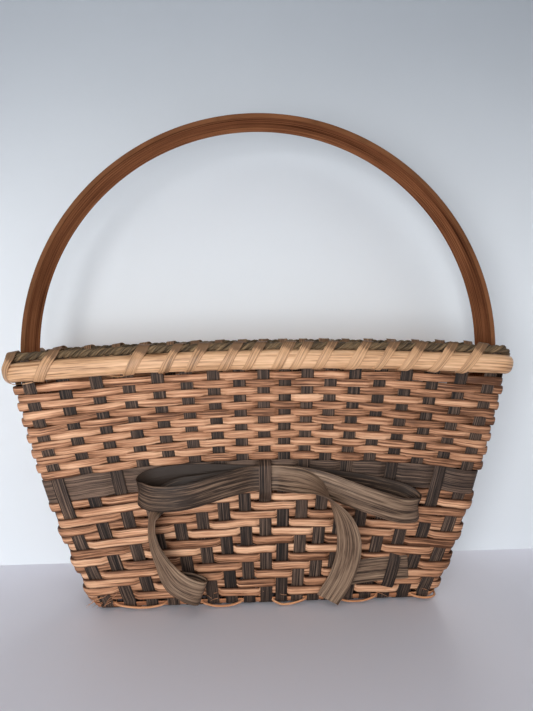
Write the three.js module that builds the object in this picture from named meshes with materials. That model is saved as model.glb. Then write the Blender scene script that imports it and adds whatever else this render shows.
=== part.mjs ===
// Door hanging basket: reed stakes, woven rows, a laced rim, a bent hoop handle and a reed bow.
// Millimetres, +Z up, front towards -Y. The origin lies under the middle of the whole basket.
//
// Places on the wall have two coordinates. The station counts stakes round the wall: front from left
// to right, right side, back, left side. The level runs from 0 at the foot of the wall to 1 at its top.
import * as THREE from "three";

// Gap kept between pieces that touch
const CLEARANCE = 0.3;

// Reed stock
const STAKE_WIDTH = 9.5;
const STAKE_THICKNESS = 1.0;
const WEAVER_CROWN = 1.6;
const BAND_WIDTH = 19;
const BAND_THICKNESS = 0.9;
const TWINE_DIAMETER = 1.8;

// Stakes: the middle one of the front carries the bow
const STAKES_LEFT = 8;
const STAKES_RIGHT = 9;
const SIDE_STAKES = 4;
const BASE_STAKE_SPAN = 252;
const RIM_STAKE_SPAN = 362;
const BASE_SIDE_SPAN = 42;
const RIM_SIDE_SPAN = 50;
const BASE_BEND = 6;
const CORNER_RUN = 1;
const STAKE_CROWDING = 0.17; // how much closer the stakes stand in the middle than at the ends
const SIDE_BULGE = 0.2; // how far the fan of stakes swells beyond a straight taper
const RIM_DROP = 6; // the ends of the rim lie lower than its middle
const ROW_SAG = 10; // the ends of the rows halfway up lie lower still

// Rows, from the foot of the wall to the rim
const TWILL_ROWS = 13;
const TWILL_PITCH = 7;
const PLAIN_ROWS = 12;
const PLAIN_PITCH = 5.7;

// Share of the gap between two stakes that a row crosses before it starts to change sides
const FLOAT_SHARE = 0.25;

// Rim
const RIM_HEIGHT = 15;
const RIM_OUTER_THICKNESS = 8;
const RIM_INNER_THICKNESS = 5;
const SEAGRASS_DIAMETER = 7.4;
const LACE_WIDTH = 5;
const LACE_THICKNESS = 0.7;
const LACE_WORN_START = 1; // first gap of the front where the lace has worn away
const LACE_WORN_END = 3;
const LACE_BACK_STEP = 4; // gaps from one wrap of the back to the next
const LACE_SLANT = 0.35; // stations that the lace moves on while it climbs the outside of a straight
const LACE_CLEARANCE = 1.1; // wider than the others, because the lace is straight across a corner

// Handle
const HANDLE_WIDTH = 25;
const HANDLE_THICKNESS = 5;
const HANDLE_EASE = 1.2;
const HANDLE_LEG = 60;

// Bow
const RIBBON_WIDTH = 19;
const RIBBON_THICKNESS = 0.9;
const KNOT_RAMP = 3.7; // height in which the middle stake lifts off the wall above the bow
const LEFT_LOOP = { reach: 98, droop: 10, bulge: 21, falls: [-0.2, -0.2, 0.1, 0.5, 0.85, 0.8, 0.25] };
const RIGHT_LOOP = { reach: 122, droop: 20, bulge: 20, falls: [0.15, 0.4, 0.65, 0.85, 0.85, 0.5, 0.05] };

// Sizes that follow from the ones above
const FRONT_STAKES = STAKES_LEFT + 1 + STAKES_RIGHT;
const MIDDLE = STAKES_LEFT;
const HALF_TURN = FRONT_STAKES + SIDE_STAKES;
const TURN = 2 * HALF_TURN;
const CORNER_DEPTH = BASE_BEND + STAKE_WIDTH / 2 + CLEARANCE;
const CORNER_LENGTH = CORNER_DEPTH + CORNER_RUN;
const CORNER_FLAT = STAKE_WIDTH / 2 + CLEARANCE; // straight part beside the last stake of a wall
const CORNER_SHARE = 1 / 3; // share of a corner's stations that each straight part takes
const STAKE_FACE = STAKE_THICKNESS / 2 + CLEARANCE;
const WALL_FACE = STAKE_FACE + WEAVER_CROWN + CLEARANCE;
const BASE_FLOAT = STAKE_THICKNESS + CLEARANCE;
const BASE_MIDDLE = STAKE_THICKNESS / 2 + BASE_FLOAT;
const WALL_FOOT = BASE_MIDDLE + BASE_BEND;
const BACK = BASE_SIDE_SPAN / 2 + CORNER_DEPTH;

const TWILL_START = TWINE_DIAMETER + 2 * CLEARANCE;
const BAND_START = TWILL_START + TWILL_ROWS * TWILL_PITCH;
const PLAIN_START = BAND_START + BAND_WIDTH + CLEARANCE;
const LACE_START = PLAIN_START + PLAIN_ROWS * PLAIN_PITCH;
const RIM_START = LACE_START + LACE_THICKNESS + LACE_CLEARANCE + CLEARANCE;
const WALL_HEIGHT = RIM_START + RIM_HEIGHT;

const HANDLE_FACE = WALL_FACE;
const HANDLE_MIDDLE = HANDLE_FACE + HANDLE_THICKNESS / 2;
const INNER_SHIFT = HANDLE_FACE + HANDLE_THICKNESS + CLEARANCE - STAKE_FACE;
const SEAGRASS_RADIUS = SEAGRASS_DIAMETER / 2;
const SEAGRASS_SHIFT = Math.max(0, SEAGRASS_RADIUS + CLEARANCE - HANDLE_FACE);

const BOW_LEVEL = BAND_START + BAND_WIDTH - KNOT_RAMP - CLEARANCE - RIBBON_WIDTH / 2;
const RIBBON_STEP = RIBBON_THICKNESS + CLEARANCE;
const KNOT_BACK = WALL_FACE + RIBBON_THICKNESS / 2;
const KNOT_SECOND = KNOT_BACK + RIBBON_STEP;
const KNOT_THIRD = KNOT_SECOND + RIBBON_STEP;
const KNOT_FRONT = KNOT_THIRD + RIBBON_STEP;
const STAKE_LIFT = KNOT_FRONT + RIBBON_THICKNESS / 2 + STAKE_FACE;

const MATERIALS = {
  natural: { color: 0xcf9a6a, roughness: 0.62, metalness: 0 },
  dyed: { color: 0x50463f, roughness: 0.58, metalness: 0 },
  ribbon: { color: 0x6e6255, roughness: 0.5, metalness: 0 },
  rim: { color: 0xcda073, roughness: 0.55, metalness: 0 },
  seagrass: { color: 0x7d643c, roughness: 0.85, metalness: 0 },
  oak: { color: 0x8a5227, roughness: 0.45, metalness: 0 },
};

const basket = new THREE.Group();
basket.name = "door_hanging_basket";

function addPiece(name, geometry, finish) {
  const mesh = new THREE.Mesh(geometry, new THREE.MeshStandardMaterial(MATERIALS[finish]));
  mesh.name = name;
  basket.add(mesh);
}

function numbered(stem, number) {
  return `${stem}_${String(number).padStart(2, "0")}`;
}

// Joins equal polygons into one closed body, as a ring or with both ends capped.
function loft(sections, closed) {
  const sides = sections[0].length;
  const points = sections.flat();
  const steps = closed ? sections.length : sections.length - 1;
  const index = [];
  for (let step = 0; step < steps; step++) {
    const near = step * sides;
    const far = ((step + 1) % sections.length) * sides;
    for (let side = 0; side < sides; side++) {
      const next = (side + 1) % sides;
      index.push(near + side, far + side, near + next);
      index.push(near + next, far + side, far + next);
    }
  }
  if (!closed) {
    const last = (sections.length - 1) * sides;
    for (let side = 1; side < sides - 1; side++) {
      index.push(0, side, side + 1);
      index.push(last, last + side + 1, last + side);
    }
  }
  if (signedVolume(points, index) < 0) index.reverse();
  const geometry = new THREE.BufferGeometry().setFromPoints(points);
  geometry.setIndex(index);
  geometry.computeVertexNormals();
  return geometry;
}

function signedVolume(points, index) {
  let volume = 0;
  for (let i = 0; i < index.length; i += 3) {
    const [a, b, c] = [points[index[i]], points[index[i + 1]], points[index[i + 2]]];
    volume += a.dot(b.clone().cross(c)) / 6;
  }
  return volume;
}

// Stake places along the front: a share of the half span, left to right.
function frontShare(place) {
  const offset = place - MIDDLE;
  const even = offset < 0 ? offset / STAKES_LEFT : offset / STAKES_RIGHT;
  return even * (1 - STAKE_CROWDING * (1 - Math.abs(even)));
}

// A corner's quarter turn: straight past the last stake, round, and straight to the next stake.
function corner(share) {
  const round = THREE.MathUtils.clamp((share - CORNER_SHARE) / (1 - 2 * CORNER_SHARE), 0, 1);
  const angle = (round * Math.PI) / 2;
  return {
    leaving: Math.min(share / CORNER_SHARE, 1),
    arriving: Math.min((1 - share) / CORNER_SHARE, 1),
    sine: Math.sin(angle),
    cosine: Math.cos(angle),
  };
}

// Where a station lies in plan, as shares of the stake spans, of a corner's straight parts and of its
// round part.
function plan(station) {
  const wrapped = ((station % TURN) + TURN) % TURN;
  const rear = wrapped >= HALF_TURN;
  const sign = rear ? -1 : 1;
  const place = rear ? wrapped - HALF_TURN : wrapped;
  const lastFront = FRONT_STAKES - 1;
  if (place <= lastFront) {
    const share = frontShare(rear ? lastFront - place : place);
    return { span: [share, -sign], flat: [0, -sign], round: [0, -sign] };
  }
  if (place < FRONT_STAKES) {
    const { leaving, arriving, sine, cosine } = corner(place - lastFront);
    return {
      span: [sign, -sign],
      flat: [sign * leaving, -sign * arriving],
      round: [sign * sine, -sign * cosine],
    };
  }
  if (place <= HALF_TURN - 1) {
    const share = (2 * (place - FRONT_STAKES)) / (SIDE_STAKES - 1) - 1;
    return { span: [sign, sign * share], flat: [sign, 0], round: [sign, 0] };
  }
  const { leaving, arriving, sine, cosine } = corner(place - HALF_TURN + 1);
  return {
    span: [sign, sign],
    flat: [sign * arriving, sign * leaving],
    round: [sign * cosine, sign * sine],
  };
}

// A point of the wall, `out` from the stakes' middle. On the sides `sideOut` may differ.
function wallPoint(station, height, out = 0, sideOut = out) {
  const level = height / WALL_HEIGHT;
  const { span, flat, round } = plan(station);
  const swell = level + SIDE_BULGE * level * (1 - level);
  const halfLength = THREE.MathUtils.lerp(BASE_STAKE_SPAN, RIM_STAKE_SPAN, swell) / 2;
  const halfDepth = THREE.MathUtils.lerp(BASE_SIDE_SPAN, RIM_SIDE_SPAN, level) / 2;
  const stakeX = span[0] * halfLength + flat[0] * CORNER_FLAT;
  const stakeY = span[1] * halfDepth + flat[1] * CORNER_FLAT;
  const roundX = CORNER_LENGTH - CORNER_FLAT;
  const roundY = CORNER_DEPTH - CORNER_FLAT;
  const x = stakeX + round[0] * (roundX + sideOut);
  const y = BACK - CORNER_DEPTH - halfDepth + stakeY + round[1] * (roundY + out);
  const share = (stakeX + round[0] * roundX) / (halfLength + CORNER_LENGTH);
  const drop = RIM_DROP * level + 4 * ROW_SAG * level * (1 - level);
  const z = WALL_FOOT + height - drop * share * share;
  return new THREE.Vector3(x, y, z);
}

// Whether a corner lies between this stake and the next one.
function isCorner(stake) {
  const place = (stake + TURN) % HALF_TURN;
  return place === FRONT_STAKES - 1 || place === HALF_TURN - 1;
}

// One woven row: a ring that passes outside or inside each stake. The profile lists
// [share of the row's height, share of its thickness], flat side towards the stakes' inside.
function wovenRow(bottom, height, thickness, profile, isOutside) {
  const sections = [];
  const offset = { true: STAKE_FACE, false: -STAKE_FACE - thickness };
  const section = (station, out) =>
    profile.map(([rise, depth]) => wallPoint(station, bottom + rise * height, out + depth * thickness));
  const floatEnd = (stake, step) => {
    if (isCorner(Math.min(stake, stake + step))) return CORNER_SHARE;
    const middle = bottom + height / 2;
    const here = wallPoint(stake, middle);
    const pitch = here.distanceTo(wallPoint(stake + step, middle));
    const rise = wallPoint(stake, middle + height / 2).sub(wallPoint(stake, middle - height / 2));
    const along = wallPoint(stake + step, middle).sub(here).normalize();
    const upright = Math.sqrt(1 - (rise.dot(along) / rise.length()) ** 2);
    const share = STAKE_WIDTH / upright / pitch;
    return share / 2 + FLOAT_SHARE * (1 - share);
  };
  for (let stake = 0; stake < TURN; stake++) {
    const out = offset[isOutside(stake)];
    const before = offset[isOutside((stake + TURN - 1) % TURN)];
    const after = offset[isOutside((stake + 1) % TURN)];
    const turns = isCorner(stake);
    const turned = isCorner(stake - 1);
    if (before !== out || turned) sections.push(section(stake - floatEnd(stake, -1), out));
    if (after !== out || turns) sections.push(section(stake + floatEnd(stake, 1), out));
    if (turns) sections.push(section(stake + 0.5, (out + after) / 2));
  }
  return loft(sections, true);
}

const WEAVER_PROFILE = [[0, 0], [0.5, 1], [1, 0]];
const FLAT_PROFILE = [[0, 0], [0, 1], [1, 1], [1, 0]];
const ROUND_PROFILE = [[0, 0.5], [0.5, 1], [1, 0.5], [0.5, 0]];

const plainWeave = (row) => (stake) => (stake + row) % 2 === 1;
const twillWeave = (row) => (stake) => (stake + TWILL_ROWS - row) % 4 >= 2;

function addRows() {
  const twine = wovenRow(CLEARANCE, TWINE_DIAMETER, TWINE_DIAMETER, ROUND_PROFILE, twillWeave(0));
  addPiece("base_twining", twine, "natural");
  for (let row = 1; row <= TWILL_ROWS; row++) {
    const bottom = TWILL_START + (row - 1) * TWILL_PITCH;
    const height = TWILL_PITCH - CLEARANCE;
    const geometry = wovenRow(bottom, height, WEAVER_CROWN, WEAVER_PROFILE, twillWeave(row));
    addPiece(numbered("twill_row", row), geometry, "natural");
  }
  const band = wovenRow(BAND_START, BAND_WIDTH, BAND_THICKNESS, FLAT_PROFILE, plainWeave(0));
  addPiece("dark_band", band, "dyed");
  for (let row = 1; row <= PLAIN_ROWS; row++) {
    const bottom = PLAIN_START + (row - 1) * PLAIN_PITCH;
    const height = PLAIN_PITCH - CLEARANCE;
    const geometry = wovenRow(bottom, height, WEAVER_CROWN, WEAVER_PROFILE, plainWeave(row));
    addPiece(numbered("plain_row", row), geometry, "natural");
  }
}

// A stake's section: `side` points across it, `out` away from the basket.
function stakeSection(centre, side, out) {
  const half = out.clone().multiplyScalar(STAKE_THICKNESS / 2);
  return [
    centre.clone().sub(side).sub(half),
    centre.clone().add(side).sub(half),
    centre.clone().add(side).add(half),
    centre.clone().sub(side).add(half),
  ];
}

// The sections of a stake up one wall, from its foot. `across` is the level direction of its width.
function wallSections(station, across, outward, heights) {
  return heights.map(({ height, lift }) => {
    const centre = wallPoint(station, height, lift);
    const direction = wallPoint(station, height + 1).sub(wallPoint(station, height - 1)).normalize();
    const upright = Math.sqrt(1 - direction.dot(across) ** 2);
    const side = across.clone().multiplyScalar(STAKE_WIDTH / 2 / upright);
    return stakeSection(centre, side, outward);
  });
}

// Sections of the quarter bend between a wall's foot and the base.
function bendSection(foot, across, outward) {
  const down = new THREE.Vector3(0, 0, -1);
  const centre = foot.clone().addScaledVector(outward, -BASE_BEND);
  const slant = outward.clone().add(down).normalize();
  const side = across.clone().multiplyScalar(STAKE_WIDTH / 2);
  const middle = stakeSection(centre.clone().addScaledVector(slant, BASE_BEND), side, slant);
  const end = stakeSection(centre.clone().addScaledVector(down, BASE_BEND), side, down);
  return [middle, end];
}

// A stake that climbs two opposite walls, with `baseSections` in between.
function bentStake(stations, across, outward, heights, baseSections) {
  const inward = outward.clone().negate();
  const plain = heights.plain;
  const first = wallSections(stations[0], across, outward, heights.first ?? plain).reverse();
  const last = wallSections(stations[1], across, inward, plain);
  const firstBend = bendSection(wallPoint(stations[0], 0), across, outward);
  const lastBend = bendSection(wallPoint(stations[1], 0), across, inward).reverse();
  return loft([...first, ...firstBend, ...baseSections, ...lastBend, ...last], false);
}

function evenHeights(steps) {
  const stepHeight = WALL_HEIGHT / steps;
  return Array.from({ length: steps + 1 }, (_, step) => ({ height: step * stepHeight, lift: 0 }));
}

// The middle stake lifts off the wall to pass over the bow.
function liftedHeights() {
  const bowTop = BOW_LEVEL + RIBBON_WIDTH / 2 + CLEARANCE;
  const bowFoot = BOW_LEVEL - RIBBON_WIDTH / 2 - CLEARANCE;
  return [
    { height: 0, lift: 0 },
    { height: BAND_START - 2 * TWILL_PITCH, lift: 0 },
    { height: bowFoot, lift: STAKE_LIFT },
    { height: bowTop, lift: STAKE_LIFT },
    { height: BAND_START + BAND_WIDTH, lift: 0 },
    { height: WALL_HEIGHT, lift: 0 },
  ];
}

function addStakes() {
  const right = new THREE.Vector3(1, 0, 0);
  const forward = new THREE.Vector3(0, -1, 0);
  const left = new THREE.Vector3(-1, 0, 0);
  const down = new THREE.Vector3(0, 0, -1);
  for (let stake = 0; stake < FRONT_STAKES; stake++) {
    const stations = [stake, HALF_TURN + FRONT_STAKES - 1 - stake];
    const heights = { plain: evenHeights(3) };
    if (stake === MIDDLE) heights.first = liftedHeights();
    const geometry = bentStake(stations, right, forward, heights, []);
    addPiece(numbered("cross_stake", stake + 1), geometry, "dyed");
  }
  for (let stake = 0; stake < SIDE_STAKES; stake++) {
    const stations = [TURN - 1 - stake, FRONT_STAKES + stake];
    const y = wallPoint(stations[1], 0).y;
    const across = forward.clone().multiplyScalar(STAKE_WIDTH / 2);
    const base = baseFloats(stake).map(({ x, drop }) =>
      stakeSection(new THREE.Vector3(x, y, BASE_MIDDLE - drop), across, down),
    );
    const geometry = bentStake(stations, forward, left, { plain: evenHeights(6) }, base);
    addPiece(numbered("long_stake", stake + 1), geometry, "dyed");
  }
}

// Where a long stake passes over and under the cross stakes of the base, two at a time.
function baseFloats(longStake) {
  const isUnder = (stake) => (stake + longStake) % 4 < 2;
  const places = Array.from({ length: FRONT_STAKES }, (_, stake) => wallPoint(stake, 0).x);
  const floats = [];
  places.forEach((x, stake) => {
    const drop = isUnder(stake) ? BASE_FLOAT : -BASE_FLOAT;
    const ends = [-1, 1].map((step) => {
      const neighbour = places[stake + step];
      const gap = neighbour === undefined ? CORNER_RUN : Math.abs(neighbour - x) - STAKE_WIDTH;
      return x + step * (STAKE_WIDTH / 2 + gap * FLOAT_SHARE);
    });
    const startsFloat = stake === 0 || isUnder(stake - 1) !== isUnder(stake);
    const endsFloat = stake === FRONT_STAKES - 1 || isUnder(stake + 1) !== isUnder(stake);
    if (startsFloat) floats.push({ x: ends[0], drop });
    if (endsFloat) floats.push({ x: ends[1], drop });
  });
  return floats;
}

// Rim sections are lists of points with `out` from the stakes' middle, `up` from the rim's foot and
// `shift`, which moves them out on the two sides, where the handle's legs pass.
const OUTER_PROFILE = [[0, 0], [0.12, 0.75], [0.36, 1], [0.64, 1], [0.88, 0.75], [1, 0]];
const INNER_PROFILE = [[0, 0], [0.14, 1], [0.86, 1], [1, 0]];
const SEAGRASS_SIDES = 6;

const outerRim = OUTER_PROFILE.map(([rise, depth]) => ({
  out: STAKE_FACE + depth * RIM_OUTER_THICKNESS,
  up: rise * RIM_HEIGHT,
  shift: 0,
}));
const innerRim = INNER_PROFILE.map(([rise, depth]) => ({
  out: -STAKE_FACE - depth * RIM_INNER_THICKNESS,
  up: rise * RIM_HEIGHT,
  shift: -INNER_SHIFT,
}));
const seagrass = Array.from({ length: SEAGRASS_SIDES }, (_, side) => {
  const angle = (2 * Math.PI * side) / SEAGRASS_SIDES;
  return {
    out: SEAGRASS_RADIUS * Math.cos(angle),
    up: RIM_HEIGHT + CLEARANCE + SEAGRASS_RADIUS * (1 + Math.sin(angle)),
    shift: SEAGRASS_SHIFT,
  };
});

function rimPoint(station, { out, up, shift }) {
  return wallPoint(station, RIM_START + up, out, out + shift);
}

// Stations of a smooth band: evenly along the front and the back, closely round the corners.
function bandStations() {
  const stations = [];
  const frontSteps = 6;
  const cornerSteps = 4;
  for (const start of [0, HALF_TURN]) {
    for (let step = 0; step <= frontSteps; step++) {
      stations.push(start + (step / frontSteps) * (FRONT_STAKES - 1));
    }
    for (const lastStake of [FRONT_STAKES - 1, HALF_TURN - 1]) {
      for (let step = 0; step <= cornerSteps; step++) {
        const share = THREE.MathUtils.lerp(CORNER_SHARE, 1 - CORNER_SHARE, step / cornerSteps);
        stations.push(start + lastStake + share);
      }
    }
  }
  return stations;
}

function addRim() {
  const sweep = (section) =>
    loft(bandStations().map((station) => section.map((point) => rimPoint(station, point))), true);
  addPiece("rim_outer_band", sweep(outerRim), "rim");
  addPiece("rim_inner_band", sweep(innerRim), "rim");
  addPiece("rim_seagrass", sweep(seagrass), "seagrass");
}

// The convex outline round a set of rim points, anticlockwise from its lowest point outside.
function hullOf(points) {
  const sorted = [...points].sort((a, b) => a.out - b.out || a.up - b.up);
  const turn = (a, b, c) => (b.out - a.out) * (c.up - a.up) - (b.up - a.up) * (c.out - a.out);
  const chain = (list) => {
    const kept = [];
    for (const point of list) {
      while (kept.length > 1 && turn(kept.at(-2), kept.at(-1), point) <= 0) kept.pop();
      kept.push(point);
    }
    return kept.slice(0, -1);
  };
  const outline = [...chain(sorted), ...chain(sorted.reverse())];
  const first = outline.indexOf(outerRim[0]);
  return [...outline.slice(first), ...outline.slice(0, first)];
}

// Moves each corner of an anticlockwise outline out, so that every edge moves by `distance`.
function grow(outline, distance) {
  return outline.map((point, corner) => {
    const before = outline.at(corner - 1);
    const after = outline[(corner + 1) % outline.length];
    const normal = (a, b) => new THREE.Vector2(b.up - a.up, a.out - b.out).normalize();
    const first = normal(before, point);
    const second = normal(point, after);
    const move = first.clone().add(second).multiplyScalar(distance / (1 + first.dot(second)));
    return { out: point.out + move.x, up: point.up + move.y, shift: point.shift };
  });
}

// One wrap in each gap of the front, apart from a worn stretch, few wraps behind and one at each corner.
function laceStations() {
  const stations = [];
  for (let gap = 0; gap < HALF_TURN; gap++) {
    const worn = gap >= LACE_WORN_START && gap < LACE_WORN_END;
    if (isCorner(gap) || (gap < FRONT_STAKES && !worn)) stations.push(gap + 0.5);
  }
  for (let gap = HALF_TURN + LACE_BACK_STEP / 2; gap < TURN; gap++) {
    const wrapped = (gap - HALF_TURN) % LACE_BACK_STEP === LACE_BACK_STEP / 2;
    if (isCorner(gap) || (gap < HALF_TURN + FRONT_STAKES && wrapped)) stations.push(gap + 0.5);
  }
  return stations;
}

function addLacing() {
  const outline = hullOf([...outerRim, ...innerRim, ...seagrass]);
  const inside = grow(outline, LACE_CLEARANCE);
  const outside = grow(outline, LACE_CLEARANCE + LACE_THICKNESS);
  const tops = inside.map((point) => point.up);
  const topCorner = tops.indexOf(Math.max(...tops));
  const innerFoot = outline.indexOf(innerRim[1]);
  const stations = laceStations();
  const sections = [];
  stations.forEach((start, wrap) => {
    const last = wrap === stations.length - 1;
    const end = last ? start + 2 * LACE_SLANT : stations[wrap + 1];
    const slant = isCorner(Math.floor(start)) ? 0 : LACE_SLANT;
    inside.forEach((_, corner) => {
      const climb = (slant * Math.min(corner, topCorner)) / topCorner;
      const station = corner < innerFoot ? start + climb : end;
      const step = 0.01;
      const pitch = rimPoint(station, outerRim[0]).distanceTo(rimPoint(station + step, outerRim[0])) / step;
      const half = LACE_WIDTH / 2 / pitch;
      sections.push([
        rimPoint(station - half, inside[corner]),
        rimPoint(station + half, inside[corner]),
        rimPoint(station + half, outside[corner]),
        rimPoint(station - half, outside[corner]),
      ]);
    });
  });
  addPiece("rim_lacing", loft(sections, false), "rim");
  console.log(`rim_lacing: least gap to itself ${leastGap(sections, inside.length).toFixed(1)} mm`);
}

// Least distance between the corners of sections that lie most of a wrap or more apart.
function leastGap(sections, perWrap) {
  let least = Infinity;
  sections.forEach((section, index) => {
    for (let other = index + perWrap - 2; other < sections.length; other++) {
      for (const a of section) {
        for (const b of sections[other]) least = Math.min(least, a.distanceTo(b));
      }
    }
  });
  return least;
}

function addHandle() {
  const archSteps = 29; // odd, so that a flat lies at the very top
  const legSteps = 3;
  const rightSide = FRONT_STAKES + (SIDE_STAKES - 1) / 2;
  const leftSide = rightSide + HALF_TURN;
  const top = wallPoint(rightSide, WALL_HEIGHT);
  const radius = top.x - HANDLE_MIDDLE;
  const halfWidth = HANDLE_WIDTH / 2;
  const halfThickness = HANDLE_THICKNESS / 2;
  const profile = [
    [halfWidth, halfThickness - HANDLE_EASE],
    [halfWidth - HANDLE_EASE, halfThickness],
    [HANDLE_EASE - halfWidth, halfThickness],
    [-halfWidth, halfThickness - HANDLE_EASE],
    [-halfWidth, HANDLE_EASE - halfThickness],
    [HANDLE_EASE - halfWidth, -halfThickness],
    [halfWidth - HANDLE_EASE, -halfThickness],
    [halfWidth, HANDLE_EASE - halfThickness],
  ];
  const section = (centre, out) =>
    profile.map(([depth, thick]) => new THREE.Vector3(
      centre.x + thick * out.x,
      centre.y + depth,
      centre.z + thick * out.z,
    ));
  const leg = (station) =>
    Array.from({ length: legSteps + 1 }, (_, step) => {
      const height = RIM_START - HANDLE_LEG * (1 - step / legSteps);
      const centre = wallPoint(station, height, 0, -HANDLE_MIDDLE);
      centre.y = top.y;
      return section(centre, new THREE.Vector3(Math.sign(centre.x), 0, 0));
    });
  const arch = Array.from({ length: archSteps + 1 }, (_, step) => {
    const angle = Math.PI * (1 - step / archSteps);
    const out = new THREE.Vector3(Math.cos(angle), 0, Math.sin(angle));
    const centre = new THREE.Vector3(0, top.y, top.z).addScaledVector(out, radius);
    return section(centre, out);
  });
  addPiece("hoop_handle", loft([...leg(leftSide), ...arch, ...leg(rightSide).reverse()], false), "oak");
}

// A point in front of the middle stake: `x` to the right, `y` up from the bow's middle, `z` out.
function bowPoint(x, y, z) {
  return wallPoint(MIDDLE, BOW_LEVEL + y, z).add(new THREE.Vector3(x, 0, 0));
}

// A standing ribbon keeps its width upright.
function standingAxes(tangent) {
  return {
    across: new THREE.Vector3(0, 1, 0),
    facing: new THREE.Vector3(-tangent.z, 0, tangent.x).normalize(),
  };
}

// A lying ribbon keeps its face to the front, but for a turn about its own length in degrees.
function lyingAxes(tangent, turn) {
  const flat = new THREE.Vector3(-tangent.y, tangent.x, 0).normalize();
  const angle = THREE.MathUtils.degToRad(turn);
  return {
    across: flat.clone().applyAxisAngle(tangent, angle),
    facing: tangent.clone().cross(flat).applyAxisAngle(tangent, angle),
  };
}

// A ribbon along a route of bow coordinates. A turn stands after the coordinates of a lying ribbon.
function ribbon(route, steps, standing) {
  const curve = new THREE.CatmullRomCurve3(route.map(([x, y, z]) => new THREE.Vector3(x, y, z)));
  const sections = Array.from({ length: steps + 1 }, (_, step) => {
    const centre = curve.getPointAt(step / steps);
    const tangent = curve.getTangentAt(step / steps);
    const place = curve.getUtoTmapping(step / steps) * (route.length - 1);
    const before = Math.min(Math.floor(place), route.length - 2);
    const turn = THREE.MathUtils.lerp(route[before][3], route[before + 1][3], place - before);
    const { across, facing } = standing ? standingAxes(tangent) : lyingAxes(tangent, turn);
    const corner = (side, face) => {
      const point = centre.clone().addScaledVector(across, (side * RIBBON_WIDTH) / 2);
      point.addScaledVector(facing, (face * RIBBON_THICKNESS) / 2);
      return bowPoint(point.x, point.y, point.z);
    };
    return [corner(-1, -1), corner(1, -1), corner(1, 1), corner(-1, 1)];
  });
  return loft(sections, false);
}

// A loop from the knot out to its reach and back in front of itself. `sign` is -1 to the left.
function bowLoop(sign, { reach, droop, bulge, falls }, frontLayer) {
  const knotEdge = (sign * CLEARANCE) / 2;
  const shares = [0.4, 0.75, 0.95, 1, 0.9, 0.65, 0.32];
  const bulges = [0, 0.06, 0.25, 0.55, 0.9, 1, 0.55];
  return [
    [knotEdge, 0, KNOT_BACK],
    [sign * STAKE_WIDTH, 0, KNOT_BACK],
    ...shares.map((share, i) => [sign * share * reach, -droop * falls[i], KNOT_BACK + bulge * bulges[i]]),
    [sign * STAKE_WIDTH, 0, frontLayer],
    [knotEdge, 0, frontLayer],
  ];
}

// The tails leave the knot inside the left loop and in front of the right loop.
const TAIL_ROUTE = [
  [-45, -74, 9, -8],
  [-54, -78, 13.5, -4],
  [-65, -72, 14.5, -14],
  [-76, -59, 14, -36],
  [-83, -42, 14, -56],
  [-84.5, -26, 14.5, -62],
  [-78, -12, 14.5, -36],
  [-67, -6.5, 13, -18],
  [-50, -4.5, 11, -6],
  [-28, -2, 8, 0],
  [-STAKE_WIDTH, 0, KNOT_THIRD, 0],
  [-STAKE_WIDTH / 2, 0, KNOT_THIRD, 0],
  [STAKE_WIDTH / 2, 0, KNOT_THIRD, 0],
  [STAKE_WIDTH, 0, KNOT_THIRD + CLEARANCE, 0],
  [16, 0, 9.5, -8],
  [27, 0, 17, -30],
  [38, -3, 24, -64],
  [47, -10, 28, -94],
  [56, -23, 27, -124],
  [62, -41, 20.5, -148],
  [63, -60, 14, -164],
  [58, -78, 9.5, -174],
  [50, -91, 7.5, -180],
];

function addBow() {
  const loopSteps = 26;
  const tailSteps = 60;
  addPiece("bow_loop_left", ribbon(bowLoop(-1, LEFT_LOOP, KNOT_FRONT), loopSteps, true), "ribbon");
  addPiece("bow_loop_right", ribbon(bowLoop(1, RIGHT_LOOP, KNOT_SECOND), loopSteps, true), "ribbon");
  addPiece("bow_tails", ribbon(TAIL_ROUTE, tailSteps, false), "ribbon");
}

addStakes();
addRows();
addRim();
addLacing();
addHandle();
addBow();

// Put the origin under the middle of everything.
const bounds = new THREE.Box3().setFromObject(basket);
const middle = bounds.getCenter(new THREE.Vector3());
basket.position.set(-middle.x, -middle.y, -bounds.min.z);

export default basket;
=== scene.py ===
"""Dresses the door hanging basket: woven reed, laced rim, bent oak hoop and reed bow.

Sizes are in millimetres, as the basket's maker would measure them, and become metres where a mesh is made.
The wall has two coordinates. The station counts stakes round the wall: front from left to right, right side,
back and left side. The height runs up the wall from its foot.
"""

from __future__ import annotations

import logging
import math
from dataclasses import dataclass
from enum import Enum
from typing import Any, Callable, Sequence

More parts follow.
